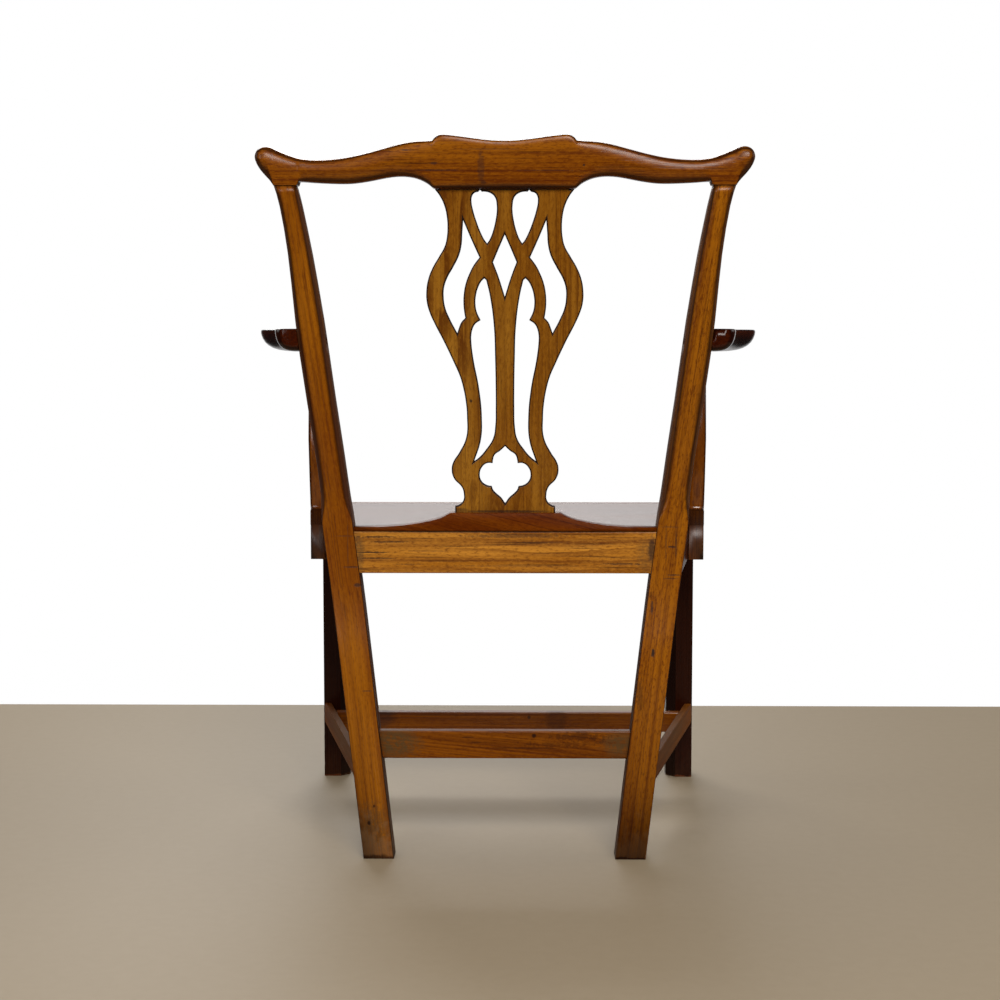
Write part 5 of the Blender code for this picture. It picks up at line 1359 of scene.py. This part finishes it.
@dataclass
class SeatFrame:
    """Rails, panel, bearers and corner blocks.

    Attributes:
        dresser: What dresses them.
        side_rail_splay: Change of X along a side rail's grain.
        rear_rail_marks: The rear rail's cracks, dirt and worn ends.
    """

    dresser: Dresser
    side_rail_splay: float = 0.14
    rear_rail_marks: tuple[Mark, ...] = (
        Mark((0.1720, 0.19, 0.4250), (0.0300, 0.03, 0.0013), 0.75, 1.3),
        Mark((0.1560, 0.19, 0.4180), (0.0260, 0.03, 0.0010), 0.70, 1.3),
        Mark((0.1780, 0.19, 0.4040), (0.0230, 0.03, 0.0013), 0.80, 1.2),
        Mark((0.1720, 0.19, 0.3960), (0.0260, 0.03, 0.0010), 0.80, 1.2),
        Mark((0.1300, 0.19, 0.3880), (0.0220, 0.03, 0.0010), 0.45, 1.2),
        Mark((0.1100, 0.19, 0.4060), (0.0300, 0.03, 0.0009), 0.35, 1.4),
        Mark((-0.0120, 0.19, 0.4262), (0.0760, 0.03, 0.0026), 0.48, 1.2),
        Mark((-0.0500, 0.19, 0.4180), (0.0400, 0.03, 0.0010), 0.32, 1.2),
        Mark((-0.0134, 0.19, 0.3858), (0.1100, 0.03, 0.0010), 0.36, 1.1),
        Mark((-0.1575, 0.19, 0.3887), (0.0300, 0.03, 0.0013), 0.65, 1.2),
        Mark((-0.1985, 0.19, 0.4070), (0.0070, 0.03, 0.0190), 0.75, 0.7),
        Mark((0.0, 0.19, 0.4320), (0.2100, 0.03, 0.0014), 0.75, 0.5),
        Mark((0.2000, 0.19, 0.4050), (0.0120, 0.03, 0.0300), 0.75, 1.0, True),
        Mark((-0.1900, 0.19, 0.4000), (0.0150, 0.03, 0.0280), 0.45, 1.2, True))

    def build(self) -> None:
        """Build the seat and dress its frame."""
        self._panel()
        self._rails()
        self._hidden_timber()

    def _panel(self) -> None:
        """The lift-out wooden seat."""
        finish = WoodFinish(REDDISH_FRUITWOOD, Grain.ACROSS.value, Sheen.BURNISHED, seed=31.0,
                            ring_gap=0.009, ring_strength=0.4, fleck=0.3, gloss=0.5, edges=EdgeDirtAndShade.NONE)
        self.dresser.keep("seat_panel", finish.material("seat_fruitwood"))

    def _rails(self) -> None:
        """The four seat rails."""
        rear = WoodFinish(GOLDEN_FRUITWOOD, Grain.ACROSS.value, Sheen.SATIN, seed=8.4, ring_gap=0.0120,
                          ring_strength=0.65, figure=0.060, fleck=0.75, patch=0.65, streaks=0.40,
                          lines=0.50, grit=0.60, marks=self.rear_rail_marks)
        self.dresser.keep("rear_seat_rail", rear.material("rear_rail_fruitwood"))
        front = WoodFinish(REDDISH_FRUITWOOD, Grain.ACROSS.value, Sheen.POLISHED, seed=14.1)
        self.dresser.keep("front_seat_rail", front.material("front_rail_fruitwood"))
        for side, sign in SIDES.items():
            grain = (-sign * self.side_rail_splay, 1.0, 0.0)
            # Painted shade: the darkened tone stands partly for the shade on the rails under the arms.
            rail = WoodFinish(SHADED_FRUITWOOD, grain, Sheen.SATIN, seed=16.0 + sign, gloss=0.05)
            self.dresser.keep("side_seat_rail_" + side, rail.material("side_rail_fruitwood_" + side))

    def _hidden_timber(self) -> None:
        """Bearers and corner blocks of plain sawn wood."""
        across = WoodFinish(BARE_TIMBER, Grain.ACROSS.value, Sheen.SAWN, seed=40.0, ring_strength=0.3)
        deep = WoodFinish(BARE_TIMBER, Grain.DEEP.value, Sheen.SAWN, seed=43.0, ring_strength=0.3)
        for node in ("seat_bearer_front", "seat_bearer_rear"):
            self.dresser.keep(node, across.material(node + "_timber"))
        for side in SIDES:
            self.dresser.keep("seat_bearer_" + side, deep.material("seat_bearer_timber_" + side))
            for end in ("front", "rear"):
                node = f"corner_block_{end}_{side}"
                self.dresser.keep(node, across.material(node + "_timber"))


@dataclass
class Stretchers:
    """The four stretchers between the legs.

    Attributes:
        dresser: What dresses them.
        side_splay: Change of X along a side stretcher's grain.
        rear_grain: Direction of the rear stretcher's grain.
        worn_centre: Middle of the left side stretcher's greyed wood.
        worn_reach: Half size of the greyed wood.
        rear_marks: The rear stretcher's knot, cracks, stains and greyed ends.
        medial_marks: The medial stretcher's shaded end, stain and knot.
    """

    dresser: Dresser
    side_splay: float = 0.21
    rear_grain: Triple = (1.0, 0.0, 0.10)
    worn_centre: Triple = (0.250, 0.0, 0.140)
    worn_reach: Triple = (0.090, 0.300, 0.060)
    rear_marks: tuple[Mark, ...] = (
        Mark((-0.0392, 0.21, 0.1590), (0.0035, 0.03, 0.0032), 0.85, 0.4),
        Mark((-0.0957, 0.21, 0.1580), (0.0400, 0.03, 0.0050), 0.40, 2.2),
        Mark((-0.0800, 0.21, 0.1480), (0.0500, 0.03, 0.0040), 0.30, 2.4),
        Mark((0.0500, 0.21, 0.1570), (0.0100, 0.03, 0.0012), 0.50, 0.4),
        Mark((0.0390, 0.21, 0.1500), (0.0090, 0.03, 0.0012), 0.50, 0.4),
        Mark((-0.0300, 0.21, 0.1425), (0.0600, 0.03, 0.0010), 0.50, 0.6),
        Mark((0.1500, 0.21, 0.1490), (0.0420, 0.03, 0.0230), 1.0, 0.9, True),
        Mark((-0.1560, 0.21, 0.1480), (0.0280, 0.03, 0.0190), 0.9, 0.9, True))
    medial_marks: tuple[Mark, ...] = (
        Mark((0.2060, -0.17, 0.1100), (0.0380, 0.03, 0.0250), 0.55, 0.1),
        Mark((-0.0750, -0.17, 0.1073), (0.0180, 0.03, 0.0250), 0.35, 0.3),
        Mark((-0.0333, -0.17, 0.1080), (0.0030, 0.03, 0.0030), 0.75, 0.4))

    def build(self) -> None:
        """Dress all four."""
        rear = WoodFinish(REDDISH_FRUITWOOD, self.rear_grain, Sheen.POLISHED, seed=51.0, ring_gap=0.010,
                          figure=0.040, ring_strength=0.35, patch=0.6, gloss=0.10, marks=self.rear_marks)
        self.dresser.keep("rear_stretcher", rear.material("rear_stretcher_fruitwood"))
        medial = WoodFinish(REDDISH_FRUITWOOD, Grain.ACROSS.value, Sheen.POLISHED, seed=54.0,
                            ring_gap=0.008, marks=self.medial_marks)
        self.dresser.keep("medial_stretcher", medial.material("medial_stretcher_fruitwood"))
        across, deep, height = self.worn_centre
        for side, sign in SIDES.items():
            worn = Mark((sign * across, deep, height), self.worn_reach, depth=0.75, ragged=1.0, greyed=True)
            grain = (-sign * self.side_splay, 1.0, 0.0)
            finish = WoodFinish(REDDISH_FRUITWOOD, grain, Sheen.DULL, seed=57.0 + sign, gloss=0.04,
                                marks=(worn,))
            self.dresser.keep("side_stretcher_" + side, finish.material("side_stretcher_fruitwood_" + side))


@dataclass
class Fastenings:
    """Pegs, plugs and screws.

    Attributes:
        dresser: What dresses them.
    """

    dresser: Dresser

    def build(self) -> None:
        """Dress every fastening."""
        for side in SIDES:
            for joint in ("side_front", "side_rear", "front_rail"):
                for height in ("low", "high"):
                    node = f"peg_{joint}_{height}_{side}"
                    self.dresser.keep(node, EndGrainFinish(seed=len(node)).material(node + "_end_grain"))
            plug = "arm_screw_plug_" + side
            self.dresser.keep(plug, EndGrainFinish(seed=3.0).material(plug + "_end_grain"))
            for node in ("arm_screw_" + side, "support_screw_front_" + side, "support_screw_rear_" + side):
                self.dresser.keep(node, SteelFinish().material(node + "_steel"))


WHITE: Colour = (1.0, 1.0, 1.0)
SKY: Colour = (0.96, 0.97, 1.0)


@dataclass(frozen=True)
class Lamp:
    """A soft rectangular lamp.

    Attributes:
        name: Its name.
        place: Where it stands.
        aim: Height above the middle of the floor that it points at.
        size: Its width and height.
        power: Its power in watts.
        colour: Its colour.
    """

    name: str
    place: Triple
    aim: float
    size: tuple[float, float]
    power: float
    colour: Colour

    def build(self) -> None:
        """Set the lamp up."""
        Workbench.clear()
        bpy.ops.object.light_add(type="AREA", location=self.place)
        lamp = bpy.context.active_object
        lamp.name = self.name
        lamp.data.shape = "RECTANGLE"
        lamp.data.size, lamp.data.size_y = self.size
        lamp.data.energy = self.power
        lamp.data.color = self.colour
        lamp.rotation_mode = "QUATERNION"
        towards = Vector((0.0, 0.0, self.aim)) - Vector(self.place)
        lamp.rotation_quaternion = towards.to_track_quat("-Z", "Y")


LAMPS = (
    Lamp("key", (-0.7, 3.1, 2.3), 0.55, (1.6, 1.2), 105.0, (1.0, 0.97, 0.93)),
    Lamp("fill", (1.7, 2.6, 1.3), 0.5, (1.2, 1.2), 20.0, (0.96, 0.98, 1.0)),
    Lamp("front", (0.5, -2.8, 2.2), 0.5, (2.0, 1.4), 62.0, (1.0, 0.99, 0.97)),
    Lamp("side_left", (2.7, -0.6, 1.5), 0.45, (1.6, 1.2), 15.0, (1.0, 0.99, 0.97)),
    Lamp("side_right", (-2.7, -0.6, 1.5), 0.45, (1.6, 1.2), 15.0, (1.0, 0.99, 0.97)))


@dataclass
class Studio:
    """Pale floor, soft light, white background and the camera.

    Attributes:
        eye: Where the camera stands.
        tilt: Degrees that it looks down.
        yaw: Degrees that it is turned towards +X.
        focal: Focal length as a share of the picture's width.
        sensor: The sensor's width in millimetres.
        far: Distance up to which it sees.
        floor_far: Y of the floor's far edge.
        floor_size: Width and depth of the floor.
        floor_tones: The two colours of its fine speckle.
        floor_roughness: How dull it is.
        mirrored_from: Y of a direction at which the mirrored background starts to fade and has faded.
        mirrored: Its strength before and after.
        sky_from: Z of a direction at which the sky starts to brighten and is brightest.
        sky: Its strength before and after.
    """

    eye: Triple = (-0.0269, 2.7678, 0.6966)
    tilt: float = 4.907
    yaw: float = 0.748
    focal: float = 1.928
    sensor: float = 36.0
    far: float = 100.0
    floor_far: float = -0.82
    floor_size: tuple[float, float] = (3.6, 2.4)
    floor_tones: tuple[Colour, Colour] = ((0.262, 0.203, 0.128), (0.284, 0.221, 0.142))
    floor_roughness: float = 0.6
    mirrored_from: Limits = (-0.95, -0.84)
    mirrored: Limits = (0.78, 0.03)
    sky_from: Limits = (0.10, 0.85)
    sky: Limits = (0.03, 0.42)

    def build(self) -> None:
        """Set up the whole studio."""
        self._camera()
        self._floor()
        self._world()
        for lamp in LAMPS:
            lamp.build()

    def _camera(self) -> None:
        """The camera at the photograph's viewing angle."""
        Workbench.clear()
        bpy.ops.object.camera_add(location=self.eye)
        camera = bpy.context.active_object
        camera.name = "camera"
        down, turned = math.radians(self.tilt), math.radians(self.yaw)
        look = Vector((math.sin(turned) * math.cos(down),
                       -math.cos(turned) * math.cos(down),
                       -math.sin(down)))
        camera.rotation_mode = "QUATERNION"
        camera.rotation_quaternion = look.to_track_quat("-Z", "Y")
        camera.data.sensor_width = self.sensor
        camera.data.lens = self.sensor * self.focal
        camera.data.clip_end = self.far
        bpy.context.scene.camera = camera

    def _floor(self) -> None:
        """A plain pale floor that ends where the photograph's does."""
        Workbench.clear()
        width, depth = self.floor_size
        bpy.ops.mesh.primitive_plane_add(size=1.0, location=(0.0, self.floor_far + depth / 2, 0.0))
        floor = bpy.context.active_object
        floor.name = "studio_floor"
        bpy.ops.transform.resize(value=(width, depth, 1.0))
        bpy.ops.object.transform_apply(location=True, rotation=True, scale=True)
        graph = Graph(bpy.data.materials.new("pale_floor"))
        colour = graph.mix(graph.noise(graph.place, FLOOR_SPECKLE), *self.floor_tones)
        floor.data.materials.append(graph.finish(colour, self.floor_roughness))

    def _world(self) -> None:
        """White for what the camera sees, a fading white for reflections, soft light for the rest."""
        world = bpy.data.worlds.new("soft_studio")
        bpy.context.scene.world = world
        graph = Graph(world)
        _, back, up = graph.axes(graph.direction)
        lit = self._background(graph, SKY, graph.fade(up, self.sky_from, self.sky))
        mirrored = self._background(graph, WHITE, graph.fade(back, self.mirrored_from, self.mirrored))
        seen = self._background(graph, WHITE, 1.0)
        rays = graph.node("ShaderNodeLightPath").outputs
        glossy = graph.result("ShaderNodeMixShader",
                              inputs={0: rays["Is Glossy Ray"], 1: lit, 2: mirrored})
        direct = Value(graph, rays["Is Camera Ray"]).most(Value(graph, rays["Is Transmission Ray"]))
        shown = graph.result("ShaderNodeMixShader", inputs={0: direct, 1: glossy, 2: seen})
        graph.node("ShaderNodeOutputWorld", inputs={0: shown})

    @staticmethod
    def _background(graph: Graph, colour: Colour, strength: Operand) -> Value:
        """Plain light of one colour.

        Args:
            graph: The world's graph.
            colour: Its colour.
            strength: Its strength.

        Returns:
            Its shader.
        """
        return graph.result("ShaderNodeBackground", inputs={"Color": (*colour, 1.0), "Strength": strength})


def main() -> None:
    """Build the chair's looks and the studio."""
    logging.basicConfig(level=logging.INFO, format="%(name)s: %(message)s")
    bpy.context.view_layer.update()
    scene = bpy.context.scene
    scene.view_settings.view_transform = "Standard"
    Studio().build()
    dresser = Dresser()
    for sub_assembly in (Back, RearLegs, FrontLegs, Arms, SeatFrame, Stretchers, Fastenings):
        sub_assembly(dresser).build()
    Workbench.clear()
    LOG.info("%d pieces dressed", dresser.count)


if __name__ == "__main__":
    main()
